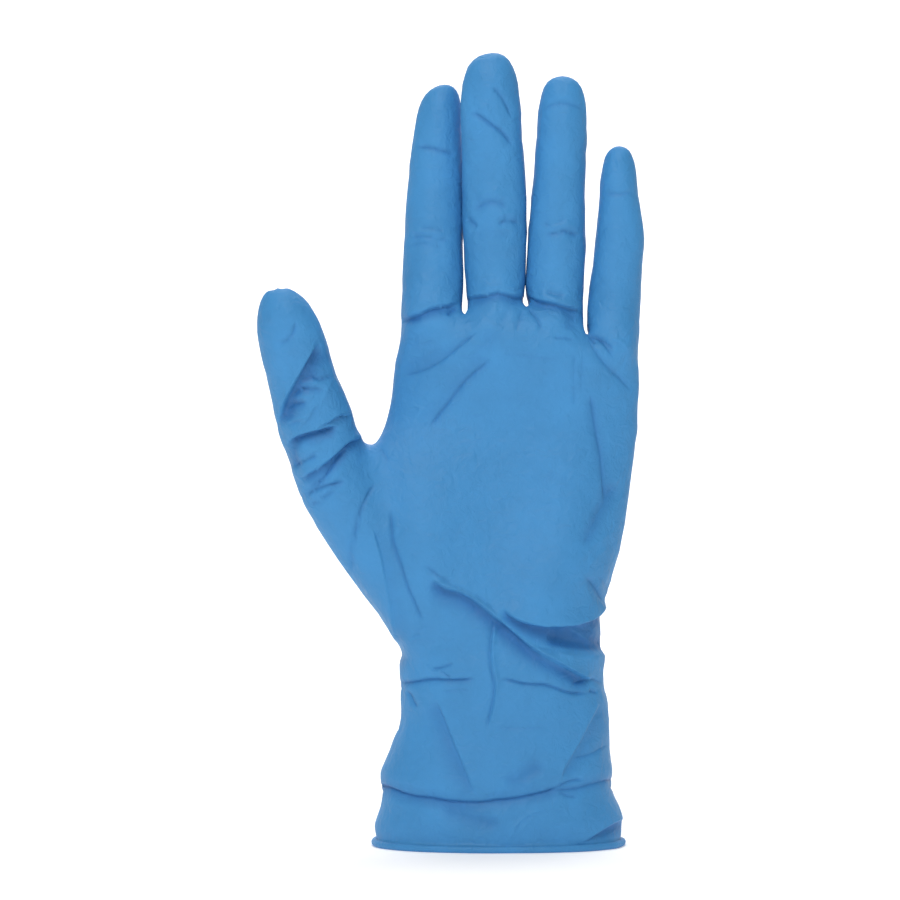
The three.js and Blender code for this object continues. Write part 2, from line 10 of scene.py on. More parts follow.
import bmesh
import bpy
import numpy as np
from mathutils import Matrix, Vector


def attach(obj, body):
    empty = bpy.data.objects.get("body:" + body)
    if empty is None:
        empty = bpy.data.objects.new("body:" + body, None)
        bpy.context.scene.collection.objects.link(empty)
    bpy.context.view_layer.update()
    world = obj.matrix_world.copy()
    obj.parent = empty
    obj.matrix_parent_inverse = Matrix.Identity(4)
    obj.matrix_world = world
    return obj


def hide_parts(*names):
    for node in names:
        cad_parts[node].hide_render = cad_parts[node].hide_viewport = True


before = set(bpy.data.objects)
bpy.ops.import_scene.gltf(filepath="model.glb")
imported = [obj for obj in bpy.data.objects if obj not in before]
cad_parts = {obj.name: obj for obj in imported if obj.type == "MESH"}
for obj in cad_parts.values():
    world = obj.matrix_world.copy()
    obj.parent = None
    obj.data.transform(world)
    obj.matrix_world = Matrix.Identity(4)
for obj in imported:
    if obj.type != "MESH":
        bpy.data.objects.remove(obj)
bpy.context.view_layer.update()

bl_info = {
    "name": "Nitrile exam glove",
    "version": (1, 0, 0),
    "blender": (4, 5, 0),
    "location": "View3D > Sidebar > Glove",
    "description": "Models a worn nitrile exam glove and its studio",
    "category": "Add Mesh",
}

MM = 0.001

# Two points nearer than this are one.
SAME_PLACE = 0.01

# The hand's three levels: the cuff's mouth, the wrist, and the knuckles where the fingers part. The
# knuckles' middle stands off to the little finger's side.
MOUTH_WIDTH = 75.5
MOUTH_DEPTH = 50
WRIST_WIDTH = 63
WRIST_DEPTH = 44
HAND_WIDTH = 73.7
HAND_DEPTH = 29
KNUCKLE_OFFSET = 6.5

# From the mouth to the wrist, from there to the thumb's web, and on to the highest web of the fingers.
# The webs lie lower on the back of the hand, and WEB_WIDTH is the gap between two fingers over a web.
CUFF_LENGTH = 57
HEEL_LENGTH = 67.5
KNUCKLE_LENGTH = 43
BACK_WEB_DROP = 7
FRONT_WEB_DROP = 1.2
WEB_WIDTH = 1.5
WEB_DROP = 13
OUTER_DROP = WEB_DROP / 2

# Lengths of the fingers are shares of the middle finger's, widths of the hand's, depths of the middle
# finger's, and drops of the web drop. Their sections are shares of their own length, width and depth,
# and side and front say how far a section's middle strays to the little finger's side and out of the
# palm, in widths.
FINGER_LENGTH = 78.7
FINGER_DEPTH = 17.5
Finger = namedtuple("Finger", "length width depth drop sections")
Ring = namedtuple("Ring", "at width depth side front")
FINGER_SHARES = {
    "index": Finger(0.928, 0.258, 0.943, 0.19, [
        Ring(0, 1.05, 1.42, 0, 0),
        Ring(0.12, 1, 1.08, 0, -0.02),
        Ring(0.32, 0.965, 1, 0.02, -0.08),
        Ring(0.52, 0.93, 0.97, 0.04, -0.13),
        Ring(0.7, 0.855, 0.88, 0.07, -0.13),
        Ring(0.83, 0.75, 0.78, 0.095, -0.1),
        Ring(0.95, 0.55, 0.55, 0.15, -0.04),
        Ring(1, 0, 0, 0.2, 0),
    ]),
    "middle": Finger(1, 0.271, 1, 0, [
        Ring(0, 0.945, 1.4, 0, 0),
        Ring(0.11, 0.93, 1.06, 0, 0.04),
        Ring(0.3, 0.995, 1, -0.01, 0.1),
        Ring(0.48, 1, 0.97, -0.02, 0.18),
        Ring(0.66, 0.955, 0.9, -0.06, 0.27),
        Ring(0.8, 0.915, 0.82, -0.08, 0.34),
        Ring(0.94, 0.7, 0.62, -0.075, 0.4),
        Ring(1, 0, 0, -0.05, 0.42),
    ]),
    "ring": Finger(0.944, 0.247, 0.943, 0.615, [
        Ring(0, 1.02, 1.42, 0, 0),
        Ring(0.12, 0.99, 1.05, -0.015, 0.02),
        Ring(0.32, 0.99, 0.98, 0.015, 0.08),
        Ring(0.5, 0.92, 0.94, 0.04, 0.14),
        Ring(0.68, 0.87, 0.88, 0.08, 0.21),
        Ring(0.82, 0.835, 0.78, 0.105, 0.27),
        Ring(0.95, 0.645, 0.56, 0.11, 0.31),
        Ring(1, 0, 0, 0.105, 0.33),
    ]),
    "little": Finger(0.755, 0.217, 0.829, 1, [
        Ring(0, 1.02, 1.45, 0, 0),
        Ring(0.16, 1.03, 1.06, 0.035, 0.02),
        Ring(0.38, 0.97, 0.98, 0.11, 0.06),
        Ring(0.57, 0.92, 0.92, 0.15, 0.1),
        Ring(0.74, 0.765, 0.82, 0.13, 0.15),
        Ring(0.86, 0.68, 0.7, 0.13, 0.19),
        Ring(0.96, 0.48, 0.46, 0.135, 0.22),
        Ring(1, 0, 0, 0.135, 0.23),
    ]),
}
FINGERS = {
    name: shares._replace(length=shares.length * FINGER_LENGTH, width=shares.width * HAND_WIDTH,
                          depth=shares.depth * FINGER_DEPTH, drop=shares.drop * WEB_DROP)
    for name, shares in FINGER_SHARES.items()
}

# How far a web reaches to front and back, as a share of the fingers' half depth, and where a finger
# ring's corner stands between its edge and its middle.
CROTCH_DEPTH = 0.68
CORNER_IN = 0.25
CORNER_DEPTH = 0.75
RING_START = 225  # degrees, where a finger's first column stands

# The thumb, from the middle of its ball to the tip. It leans out from the hand, its pad turns to the
# fingers by the twist, and its root stands out beyond the index finger's edge.
THUMB_LENGTH = 72.8
THUMB_WIDTH = 23
THUMB_DEPTH = 19.5
THUMB_LEAN = 20.3  # degrees
THUMB_TWIST = 25  # degrees
THUMB_ROOT_OUT = 12.3
THUMB_ROOT_FRONT = 3.5
THUMB_ROOT_BELOW_WEB = 20.5

# The thumb's sections. Tilt is how many degrees a section leans from square to the thumb.
ThumbRing = namedtuple("ThumbRing", "at width depth side front tilt")
THUMB_RINGS = [
    ThumbRing(0, 1.83, 1.4, -0.02, 0.04, 63),
    ThumbRing(0.174, 1.217, 1.24, -0.15, 0.22, 33),
    ThumbRing(0.314, 1.026, 1.1, -0.163, 0.37, 8),
    ThumbRing(0.428, 1.009, 1.04, -0.145, 0.48, -4),
    ThumbRing(0.582, 0.926, 1, -0.115, 0.62, -5),
    ThumbRing(0.736, 0.892, 0.95, -0.07, 0.74, -6),
    ThumbRing(0.865, 0.783, 0.8, -0.03, 0.83, -6),
    ThumbRing(0.965, 0.44, 0.44, 0, 0.88, -10),
    ThumbRing(0.993, 0, 0, 0.01, 0.89, 0),
]

# Sections across the hand. Up counts 0 to 1 over the cuff, to 2 over the heel and to 3 over the
# knuckles, and spread goes from the wrist's size to the mouth's or the knuckles'. Left, right, front
# and back are shares of half that size, and ball and pad stand out in front by shares of HAND_DEPTH.
Section = namedtuple("Section", "up spread left right front back ball pad")
HAND_SECTIONS = [
    Section(0, 1, 1, 1, 1, 1, 0, 0),
    Section(0.09, 0.95, 1.02, 1.03, 1, 1, 0, 0),
    Section(0.18, 0.85, 0.99, 1.02, 1, 1, 0, 0),
    Section(0.27, 0.7, 1.02, 0.99, 1, 1, 0, 0),
    Section(0.37, 0.55, 1.04, 1.01, 1, 1, 0, 0),
    Section(0.47, 0.4, 1.01, 1.02, 1, 1, 0, 0),
    Section(0.58, 0.25, 0.97, 1.04, 1, 1, 0, 0),
    Section(0.68, 0.15, 0.93, 1.06, 1, 1, 0, 0),
    Section(0.79, 0.08, 0.95, 1.05, 1, 1, 0, 0),
    Section(0.9, 0.03, 0.96, 1.03, 1, 1, 0, 0),
    Section(1, 0, 0.97, 1.03, 1, 1, 0, 0),
    Section(1.09, 0.05, 1, 1, 0.96, 0.97, 0.01, 0),
    Section(1.24, 0.18, 1.07, 0.96, 0.97, 0.96, 0.05, 0.06),
    Section(1.45, 0.42, 1.12, 1, 0.92, 0.98, 0.16, 0.14),
    Section(1.7, 0.7, 1.16, 1, 0.8, 1, 0.22, 0.12),
    Section(2, 0.9, 1.21, 1.01, 0.75, 1, 0.1, 0.07),
    Section(2.2, 0.97, 1.12, 1, 0.77, 1, 0.04, 0.05),
    Section(2.47, 1, 1.07, 1, 0.86, 1, 0, 0.02),
    Section(2.75, 1, 1.04, 1.01, 0.95, 0.96, 0, 0),
]

# The first row that the thumb grows from, and how much its rows stay deep at the thumb's edge.
THUMB_ROW = 11
THUMB_DEEP = [0.1, 0.25, 0.35, 0.35, 0.15]

# Columns across the hand, in half widths: two to a finger. A section follows a superellipse.
COLUMNS = [-0.93, -0.72, -0.48, -0.24, 0, 0.24, 0.48, 0.72, 0.93]
ROUNDNESS = 2.3

# Where the ball and the pad stand out most, and how wide they are, in half widths.
BALL_MIDDLE = -0.75
BALL_REACH = 0.45
PAD_MIDDLE = 0.52
PAD_REACH = 0.38

# Fold lines are drawn on the front view, as seen from 1.2 m off, in steps of 0.31 mm across from the
# left and down from the top. All else is in millimetres. Rise is how far a fold stands out, or in
# where it is a crease, and reach is its half breadth, which lean shares out: at 1 all of it lies on the
# left of the line, seen along its way. Blunt is 2 for a round fold and 1 for one with a sharp line. Cut
# is the depth of a fine groove along the line, drop is how far the film steps down on the right of it,
# and fall is how soon the film is back at its level from there.
STEP = 0.31
MIDLINE = 498.5
HEM = 845
SEEN_FROM = 1200
SEEN_MIDDLE = (-15, 122.45)
Fold = namedtuple("Fold", "line rise reach lean blunt cut drop fall", defaults=(0, 1.4, 0, 0, 3))

# Folds that both skins of the film follow.
BROAD_FOLDS = [
    # Palm.
    Fold([(400, 377), (420, 372), (437, 364), (452, 353), (464, 343), (480, 330)],
         -0.5, 2, blunt=1.2, cut=0.3, drop=-0.5),
    Fold([(400, 366), (415, 362), (430, 354), (444, 345)], -0.25, 1.6),
    Fold([(462, 365), (476, 352), (489, 340), (502, 328)], -0.25, 2.4),
    Fold([(428, 428), (440, 413), (450, 400), (460, 387), (467, 379), (479, 369), (492, 359)],
         -0.35, 2.4, lean=0.3, cut=0.4),
    Fold([(590, 392), (593, 410), (596, 430), (600, 450), (602, 465), (604, 485), (607, 502)],
         -0.4, 1.8, cut=0.3),
    Fold([(618, 480), (611, 492), (606, 501), (598, 516), (590, 534), (584, 548)], -0.6, 2, blunt=1.5),
    Fold([(400, 648), (396, 634), (392, 610), (388, 590), (383, 565), (378, 545), (372, 526)],
         0.7, 3.4, lean=-0.5, blunt=1.2, drop=0.8, fall=5),
    # Wrist.
    Fold([(430, 578), (446, 588), (458, 591), (470, 597), (482, 606), (494, 616), (506, 626), (518, 636),
          (530, 646), (545, 656), (560, 664), (575, 672), (594, 682)],
         1.3, 1.4, lean=0.4, blunt=1.2, drop=1.7, fall=3.6),
    Fold([(502, 608), (508, 614), (516, 619), (526, 623), (540, 626), (552, 627), (566, 626), (580, 624),
          (592, 619), (601, 611), (608, 598)],
         1.7, 4.2, lean=0.2, blunt=1.6, drop=3, fall=4.4),
    Fold([(546, 634), (562, 640), (580, 643), (600, 644), (616, 642)], -1.8, 2.4, blunt=2),
    Fold([(552, 652), (576, 657), (600, 656), (616, 652)], 0.8, 2, lean=0.3),
    # Cuff.
    Fold([(436, 698), (446, 722), (455, 745), (465, 769), (477, 797)], 0.3, 2, drop=0.8, fall=4),
    Fold([(560, 783), (564, 770), (571, 757), (580, 742), (590, 722), (601, 701)],
         0.5, 1.6, lean=0.3, blunt=1.2, drop=0.6, fall=3.4),
    Fold([(364, 781), (380, 785), (390, 788), (402, 793), (414, 796), (430, 798), (448, 801), (466, 802),
          (482, 802), (496, 800), (515, 798), (535, 794), (548, 791), (561, 786)],
         -0.6, 1.8, blunt=1.2, cut=0.45, drop=0.4),
    Fold([(550, 791), (575, 789), (590, 785), (604, 781), (624, 777)], -0.5, 1.6, blunt=1.2, cut=0.3),
    Fold([(500, 782), (518, 780), (532, 772), (545, 761)], -0.6, 2.6, blunt=1.8),
    Fold([(438, 810), (460, 815), (480, 820), (503, 826)], -0.6, 2.4, blunt=1.6),
    Fold([(578, 847), (587, 841), (599, 833), (612, 825), (628, 817)], 0.5, 2, drop=1.4, fall=4),
    # Thumb.
    Fold([(277, 426), (283, 407), (288, 395), (293, 386), (300, 374), (308, 360), (319, 341)],
         0.6, 1.6, lean=0.2, blunt=1.2, drop=1.7, fall=4.6),
    Fold([(286, 446), (293, 439), (302, 435), (313, 432), (326, 429), (340, 426)],
         0.6, 1.6, lean=0.4, blunt=1.3, cut=0.6, drop=2, fall=2.2),
    Fold([(291, 441), (293, 450), (294, 460), (295, 472)], -0.8, 1.6, blunt=1.5),
    Fold([(297, 480), (312, 472), (322, 466), (333, 458), (343, 449), (351, 442), (366, 436)],
         0.6, 1.6, lean=0.4, blunt=1.3, cut=0.6, drop=1.4, fall=2.6),
    # The fingers' roots.
    Fold([(400, 321), (406, 318), (418, 314), (429, 309), (441, 306), (461, 303)],
         0.7, 1.5, lean=0.4, blunt=1.3, cut=0.8, drop=1.5, fall=2.2),
    Fold([(464, 301), (474, 297), (486, 295), (498, 292), (510, 295), (528, 299)],
         0.6, 1.5, lean=0.4, blunt=1.3, cut=0.6, drop=1.3, fall=2.2),
    Fold([(526, 296), (536, 300), (546, 302), (557, 304), (568, 307), (586, 311)],
         0.6, 1.5, lean=0.4, blunt=1.3, cut=0.7, drop=1.4, fall=2.2),
    Fold([(583, 332), (593, 336), (606, 342), (616, 352)], -0.4, 1.4, blunt=1.2, cut=0.3),
    Fold([(575, 312), (571, 322), (570, 332)], -0.5, 2.2, blunt=2),
]

# Creases and ridges of the outer skin alone.
CREASES = [
    # Index finger.
    Fold([(413, 147), (425, 147), (440, 150), (458, 155)], -0.34, 0.9, cut=0.35),
    Fold([(416, 229), (430, 228), (440, 230), (448, 233)], -0.34, 0.8, cut=0.15),
    Fold([(408, 233), (420, 231), (435, 233), (449, 236)], 0.35, 1),
    Fold([(407, 239), (420, 236), (435, 238), (451, 240)], -0.42, 0.8, cut=0.2),
    Fold([(407, 248), (418, 243), (430, 244), (446, 248)], -0.34, 0.8, cut=0.1),
    Fold([(402, 323), (410, 319), (420, 317)], -0.27, 0.8, cut=0.2),
    Fold([(447, 316), (453, 310), (460, 307)], -0.42, 0.9, cut=0.2),
    # Middle finger.
    Fold([(467, 114), (476, 114), (484, 119), (492, 125), (502, 132), (509, 140), (515, 148)],
         -0.42, 0.9, cut=0.4),
    Fold([(477, 109), (483, 108), (489, 104)], 0.3, 0.9),
    Fold([(490, 85), (498, 92), (505, 102), (509, 110), (513, 120)], -0.34, 0.9, cut=0.2),
    Fold([(476, 199), (485, 194), (496, 193), (506, 197)], 0.45, 1.6),
    Fold([(472, 212), (480, 206), (490, 202), (500, 203), (510, 210)], -0.48, 1.3, cut=0.2),
    Fold([(466, 219), (472, 223), (478, 228)], -0.42, 1, cut=0.2),
    Fold([(497, 225), (505, 221), (512, 221), (521, 224)], -0.42, 0.9, cut=0.25),
    Fold([(498, 216), (506, 213), (518, 216)], 0.45, 1.3),
    Fold([(470, 236), (490, 234), (514, 236)], -0.27, 0.9, cut=0.1),
    Fold([(479, 293), (488, 288), (500, 287), (513, 289), (524, 287)], 0.4, 1, drop=0.4, fall=1),
    # Ring finger.
    Fold([(540, 113), (548, 106), (560, 103), (572, 104), (581, 108), (587, 114)], -0.27, 0.9, cut=0.15),
    Fold([(540, 222), (549, 225), (558, 223), (568, 217)], -0.34, 0.9, cut=0.1),
    Fold([(546, 226), (557, 226), (568, 224), (580, 228)], 0.45, 1.3),
    Fold([(543, 235), (555, 233), (565, 231), (573, 234), (583, 236)], -0.55, 0.9, cut=0.25),
    Fold([(544, 290), (554, 294), (566, 295)], -0.42, 0.8, cut=0.15),
    Fold([(538, 293), (550, 296), (560, 300)], 0.3, 0.8),
    # Little finger.
    Fold([(602, 193), (615, 194), (634, 192)], -0.27, 0.8, cut=0.1),
    Fold([(609, 338), (619, 341), (625, 346), (629, 352)], 0.35, 0.8, drop=0.3, fall=1),
    Fold([(621, 341), (629, 332), (637, 321)], 0.35, 0.8, drop=0.3, fall=1),
    # Palm.
    Fold([(524, 309), (519, 320), (517, 332)], -0.2, 1, cut=0.15),
    Fold([(512, 304), (505, 316), (500, 330)], -0.16, 1.1),
    Fold([(500, 299), (490, 312), (478, 326), (466, 340)], 0.3, 1.4),
    Fold([(527, 307), (534, 314), (539, 322), (542, 331)], -0.23, 0.9, cut=0.3),
    Fold([(552, 337), (564, 338), (576, 339)], -0.13, 0.8, cut=0.25),
    Fold([(496, 354), (515, 355), (538, 357), (562, 360)], -0.1, 0.9, cut=0.1),
    Fold([(587, 336), (593, 347), (601, 359), (612, 371), (623, 381), (633, 393)], -0.23, 1.1, cut=0.25),
    Fold([(589, 335), (596, 344)], -0.2, 0.7, cut=0.3),
    Fold([(592, 333), (603, 342), (610, 352), (615, 360)], -0.2, 0.8, cut=0.25),
    Fold([(584, 352), (582, 372), (581, 398)], -0.13, 0.9, cut=0.1),
    Fold([(576, 350), (574, 375), (575, 412)], -0.13, 0.9, cut=0.1),
    Fold([(543, 473), (558, 478), (575, 485)], -0.2, 1.1),
    Fold([(379, 446), (384, 454), (390, 463)], -0.2, 0.9, cut=0.1),
    Fold([(377, 480), (370, 492), (362, 508), (357, 525), (353, 543), (351, 556), (352, 574)],
         -0.23, 1.1, cut=0.4),
    Fold([(391, 508), (392, 530), (394, 545), (399, 560), (404, 575), (409, 590), (416, 606), (424, 624)],
         -0.23, 1.1, cut=0.4),
    Fold([(584, 577), (591, 582), (597, 590), (601, 598), (603, 607)], -0.33, 1.1, cut=0.4),
    Fold([(598, 575), (604, 583), (609, 592)], -0.2, 1, cut=0.2),
    Fold([(588, 567), (598, 556), (609, 547)], 0.25, 1),
    Fold([(584, 556), (593, 546), (604, 538)], 0.25, 1),
    # Wrist and cuff.
    Fold([(423, 564), (434, 572), (445, 580), (456, 586), (468, 592), (480, 599), (491, 607), (500, 615)],
         -0.2, 1, cut=0.45),
    Fold([(566, 628), (577, 632), (587, 638), (597, 644), (607, 648)], 0.7, 0.9),
    Fold([(496, 621), (494, 635), (493, 650), (494, 665), (497, 680), (497, 690), (495, 705), (489, 729)],
         0.6, 0.7, lean=0.2),
    Fold([(494, 623), (491, 640), (490, 655), (491, 668), (494, 682), (494, 692), (492, 707), (486, 731)],
         -0.1, 0.8, cut=0.35),
    Fold([(396, 682), (412, 682), (424, 680), (436, 679), (447, 680), (461, 680), (477, 678)],
         -0.23, 1, cut=0.55, drop=0.2, fall=1.5),
    Fold([(424, 663), (432, 670), (440, 676), (448, 680)], 0.35, 0.7),
    Fold([(429, 669), (441, 668), (454, 663)], -0.16, 0.7, cut=0.35),
    Fold([(439, 670), (446, 675), (451, 679)], -0.13, 0.6, cut=0.3),
    Fold([(499, 679), (512, 681), (525, 684), (545, 685), (558, 689), (572, 693), (592, 693)],
         -0.23, 1, cut=0.5),
    Fold([(571, 685), (583, 681), (594, 679), (604, 685)], -0.2, 0.8, cut=0.3),
    Fold([(589, 690), (598, 693)], -0.33, 0.8, cut=0.3),
    Fold([(402, 640), (418, 639), (440, 641)], 0.3, 0.9),
    Fold([(409, 641), (414, 636), (422, 634)], -0.2, 0.9, cut=0.1),
    Fold([(406, 690), (411, 697), (414, 704), (419, 707)], -0.23, 0.8, cut=0.4),
    Fold([(440, 693), (454, 690), (472, 690)], -0.13, 0.8, cut=0.1),
    Fold([(494, 727), (520, 728), (548, 726)], -0.08, 1, cut=0.1),
    Fold([(572, 758), (584, 756), (595, 752), (609, 743)], -0.2, 0.9, cut=0.2),
    Fold([(556, 789), (566, 783), (576, 780), (586, 781)], -0.16, 0.8, cut=0.35),
    Fold([(559, 792), (568, 796), (579, 797)], -0.13, 0.8, cut=0.25),
    Fold([(511, 840), (516, 828), (523, 820), (532, 814), (546, 810)],
         0.4, 1, blunt=1.3, drop=0.3, fall=1.4),
    Fold([(521, 834), (528, 822), (539, 814)], 0.3, 0.8),
    # Thumb.
    Fold([(300, 383), (306, 379), (314, 377), (321, 380), (328, 377), (337, 377)], -0.4, 1.2, cut=0.35),
    Fold([(287, 398), (300, 391), (316, 389), (328, 391)], -0.45, 1.1, cut=0.25),
    Fold([(296, 387), (310, 384), (329, 384)], 0.5, 1),
    Fold([(283, 411), (292, 405), (308, 403)], -0.45, 1.1, cut=0.25),
    Fold([(289, 401), (304, 397), (316, 397)], 0.5, 1),
    Fold([(285, 425), (294, 421), (306, 418)], 0.4, 1, drop=0.4, fall=1.4),
    Fold([(296, 434), (303, 424), (309, 418), (314, 409), (320, 402)],
         0.45, 0.9, lean=0.3, blunt=1.3, cut=0.2, drop=0.4, fall=1.6),
    Fold([(316, 429), (331, 421), (342, 415), (355, 415)],
         0.6, 1, lean=0.2, blunt=1.3, cut=0.4, drop=0.9, fall=2),
    Fold([(330, 377), (327, 391), (320, 404)], 0.4, 1),
    Fold([(307, 489), (318, 483), (328, 473), (337, 461), (350, 446)], -0.5, 1.2, cut=0.5),
    Fold([(291, 467), (305, 461), (320, 454)], -0.5, 1.2, cut=0.3),
    Fold([(298, 500), (312, 492), (324, 487), (335, 484), (348, 481)], -0.5, 1.2, cut=0.5),
    Fold([(305, 508), (320, 500), (338, 489)], -0.4, 1.1, cut=0.3),
    Fold([(296, 320), (294, 332), (287, 340), (277, 344)], -0.25, 0.9, cut=0.2),
    Fold([(268, 324), (278, 311), (290, 303)], 0.3, 1.1),
]

# Folds on the back of the hand, drawn as seen through from the front.
BACK_FOLDS = [
    Fold([(390, 690), (440, 684), (500, 676), (560, 684), (610, 692)], -0.8, 2, cut=0.4),
    Fold([(390, 728), (450, 736), (500, 742), (560, 734), (612, 724)], -0.6, 1.8, cut=0.3),
    Fold([(370, 790), (440, 800), (500, 804), (560, 796), (622, 786)], -0.9, 2.2, blunt=1.2, cut=0.5),
    Fold([(404, 330), (420, 338), (440, 338), (458, 330)], -0.5, 2, blunt=1.6),
    Fold([(470, 322), (488, 330), (508, 330), (524, 320)], -0.5, 2, blunt=1.6),
    Fold([(530, 330), (545, 338), (562, 338), (578, 332)], -0.5, 2, blunt=1.6),
    Fold([(590, 352), (604, 360), (618, 360), (632, 352)], -0.5, 2, blunt=1.6),
]

# How far a skin faces the side of a fold where the fold starts and where it is full.
FACING_FROM = -0.35
FACING_FULL = 0.25

LINE_STEP = 1.5  # about how far apart the points of a fold's smooth line are
FOLD_MARGIN = 4  # how far to either side of its line a fold is looked at, in reaches
SHOULDER = 0.25  # how far the film swells beside a crease, as a share of its depth
SHOULDER_PLACE = 2.4  # in reaches
FADE = 4  # how far a fold takes to fade at either end of its line
FADE_MOST = 0.25  # the largest share of its line that this may be
BEAD_CLEAR = 4  # folds also fade over this height above the bead
CUT_REACH = 0.42  # half the breadth of a groove
STEP_REACH = 0.4  # half the breadth of a step down beside a line
FIT_PASSES = 8
SKIN_LEVEL = 2  # how often the skins are divided all over, and the copy that the outer one settles on
FINE_LEVEL = 4
REFINED = (1.7, 0.65, 0.22)  # how near a fold's line the faces are divided once, twice and three times
BACK_REFINED = (1.8, 0.7)
INNER_WALL = 2.4  # the lining stands this far in where nobody sees it, so that no crease meets it
INNER_WALL_HEIGHT = 12  # from this height up, and nearer to the film's own wall down to the rim
CRUMPLE_BREADTH = 7
BEAD_STEPS = 8

# The film's surface: breadths of its patches, fine wrinkles and grain, and the rise of the last two.
PATCH = 14
WRINKLE = 3.2
WRINKLE_RISE = 0.6
GRAIN = 0.45
GRAIN_RISE = 0.04

# The stage, in metres: a sheet of paper that bends up behind the glove, the lamps and the camera.
SWEEP_WIDTH = 8
SWEEP_FRONT = -4
SWEEP_BACK = 1.2
SWEEP_BEND = 0.8
SWEEP_WALL = 3
SWEEP_STEPS = 16
TARGET = Vector((-0.015, 0, 0.12245))
Lamp = namedtuple("Lamp", "name place aim size")
LAMPS = [
    Lamp("key", Vector((-0.2, -0.92, 1.03)), TARGET, 0.8),
    Lamp("backdrop", Vector((0, 0.9, 1.9)), Vector((0, 2, 0.3)), 1.5),
]
CAMERA_AWAY = 1.2
LENS = 154.8


def linear(text):
    """A colour's sRGB hex value as the linear numbers that a shader takes."""
    values = [int(text[i:i + 2], 16) / 255 for i in (1, 3, 5)]
    return [v / 12.92 if v <= 0.04045 else ((v + 0.055) / 1.055) ** 2.4 for v in values] + [1]


class GloveSettings(bpy.types.PropertyGroup):
    film: bpy.props.FloatProperty(
        name="Film", description="Thickness of the film at the cuff's rim",
        default=0.5 * MM, min=0.1 * MM, max=1 * MM, unit="LENGTH", subtype="DISTANCE")
    bead: bpy.props.FloatProperty(
        name="Bead", description="Thickness of the rolled bead round the cuff's mouth",
        default=2.2 * MM, min=1.2 * MM, max=4 * MM, unit="LENGTH", subtype="DISTANCE")
    crumple: bpy.props.FloatProperty(
        name="Crumple", description="Height of the soft unevenness all over the film",
        default=0.7 * MM, min=0, max=1.5 * MM, unit="LENGTH", subtype="DISTANCE")
    folds: bpy.props.FloatProperty(
        name="Folds", description="How strongly the film is folded",
        default=1, min=0, max=1.5, subtype="FACTOR")
    colour: bpy.props.FloatVectorProperty(
        name="Colour", description="Colour of the nitrile film",
        default=linear("#428CC5"), min=0, max=1, size=4, subtype="COLOR")
    # Painted shade: the darker blue that the creases are coloured towards, standing in for the shade that
    # falls in them.
    painted_crease_shade: bpy.props.FloatVectorProperty(
        name="Shade", description="Colour that the film takes deep in its creases",
        default=linear("#174F94"), min=0, max=1, size=4, subtype="COLOR")


class StageSettings(bpy.types.PropertyGroup):
    paper: bpy.props.FloatVectorProperty(
        name="Paper", description="Colour of the paper that the glove stands on",
        default=linear("#F8F8F8"), min=0, max=1, size=4, subtype="COLOR")
    glow: bpy.props.FloatProperty(
        name="Paper glow", description="How much light of its own the paper gives, as a lit backdrop does",
        default=0.25, min=0, max=1, subtype="FACTOR")
    room: bpy.props.FloatProperty(
        name="Room light", description="Strength of the even light from all round",
        default=0.22, min=0, max=2, subtype="FACTOR")
    key: bpy.props.FloatProperty(
        name="Key light", description="Watts of the soft light above the camera",
        default=10.5, min=0, max=100, unit="POWER")
    backdrop: bpy.props.FloatProperty(
        name="Backdrop light", description="Watts of the light on the paper behind the glove",
        default=30, min=0, max=200, unit="POWER")


def smoothstep(low, high, value):
    """0 up to low, 1 from high, and smooth between the two."""
    share = np.clip((value - low) / (high - low), 0, 1)
    return share * share * (3 - 2 * share)


def mix(low, high, share):
    """The value at a share of the way."""
    return low + (high - low) * share


Rim = namedtuple("Rim", "wall radius start height")


def rim_of(settings):
    """The film's wall at the rim, and the bead's radius, start angle and start height."""
    wall = settings.film / MM
    radius = settings.bead / MM / 2
    start = math.acos((wall - radius) / radius)
    return Rim(wall, radius, start, radius * (1 + math.sin(start)))


WEB_HEIGHT = CUFF_LENGTH + HEEL_LENGTH
ROOT_HEIGHT = WEB_HEIGHT + KNUCKLE_LENGTH
ROOT_WIDTHS = [finger.width * finger.sections[0].width for finger in FINGERS.values()]
KNUCKLE_WIDTH = sum(ROOT_WIDTHS)
DROPS = [OUTER_DROP] + [finger.drop for finger in FINGERS.values()]
ROOTS = [
    (KNUCKLE_OFFSET - KNUCKLE_WIDTH / 2 + sum(ROOT_WIDTHS[:n]), ROOT_HEIGHT - drop)
    for n, drop in enumerate(DROPS)
]


def height_at(up, across, drop, rim):
    """Millimetres up from the mouth at a section. Over the knuckles, sections follow the root line."""
    if up <= 1:
        return mix(rim.height, CUFF_LENGTH, up)
    if up <= 2:
        return mix(CUFF_LENGTH, WEB_HEIGHT, up - 1)
    place = (across + 1) / 2 * len(FINGERS)
    n = min(int(place), len(FINGERS) - 1)
    root = mix(ROOTS[n][1], ROOTS[n + 1][1], place - n)
    return mix(WEB_HEIGHT, root - drop, up - 2)


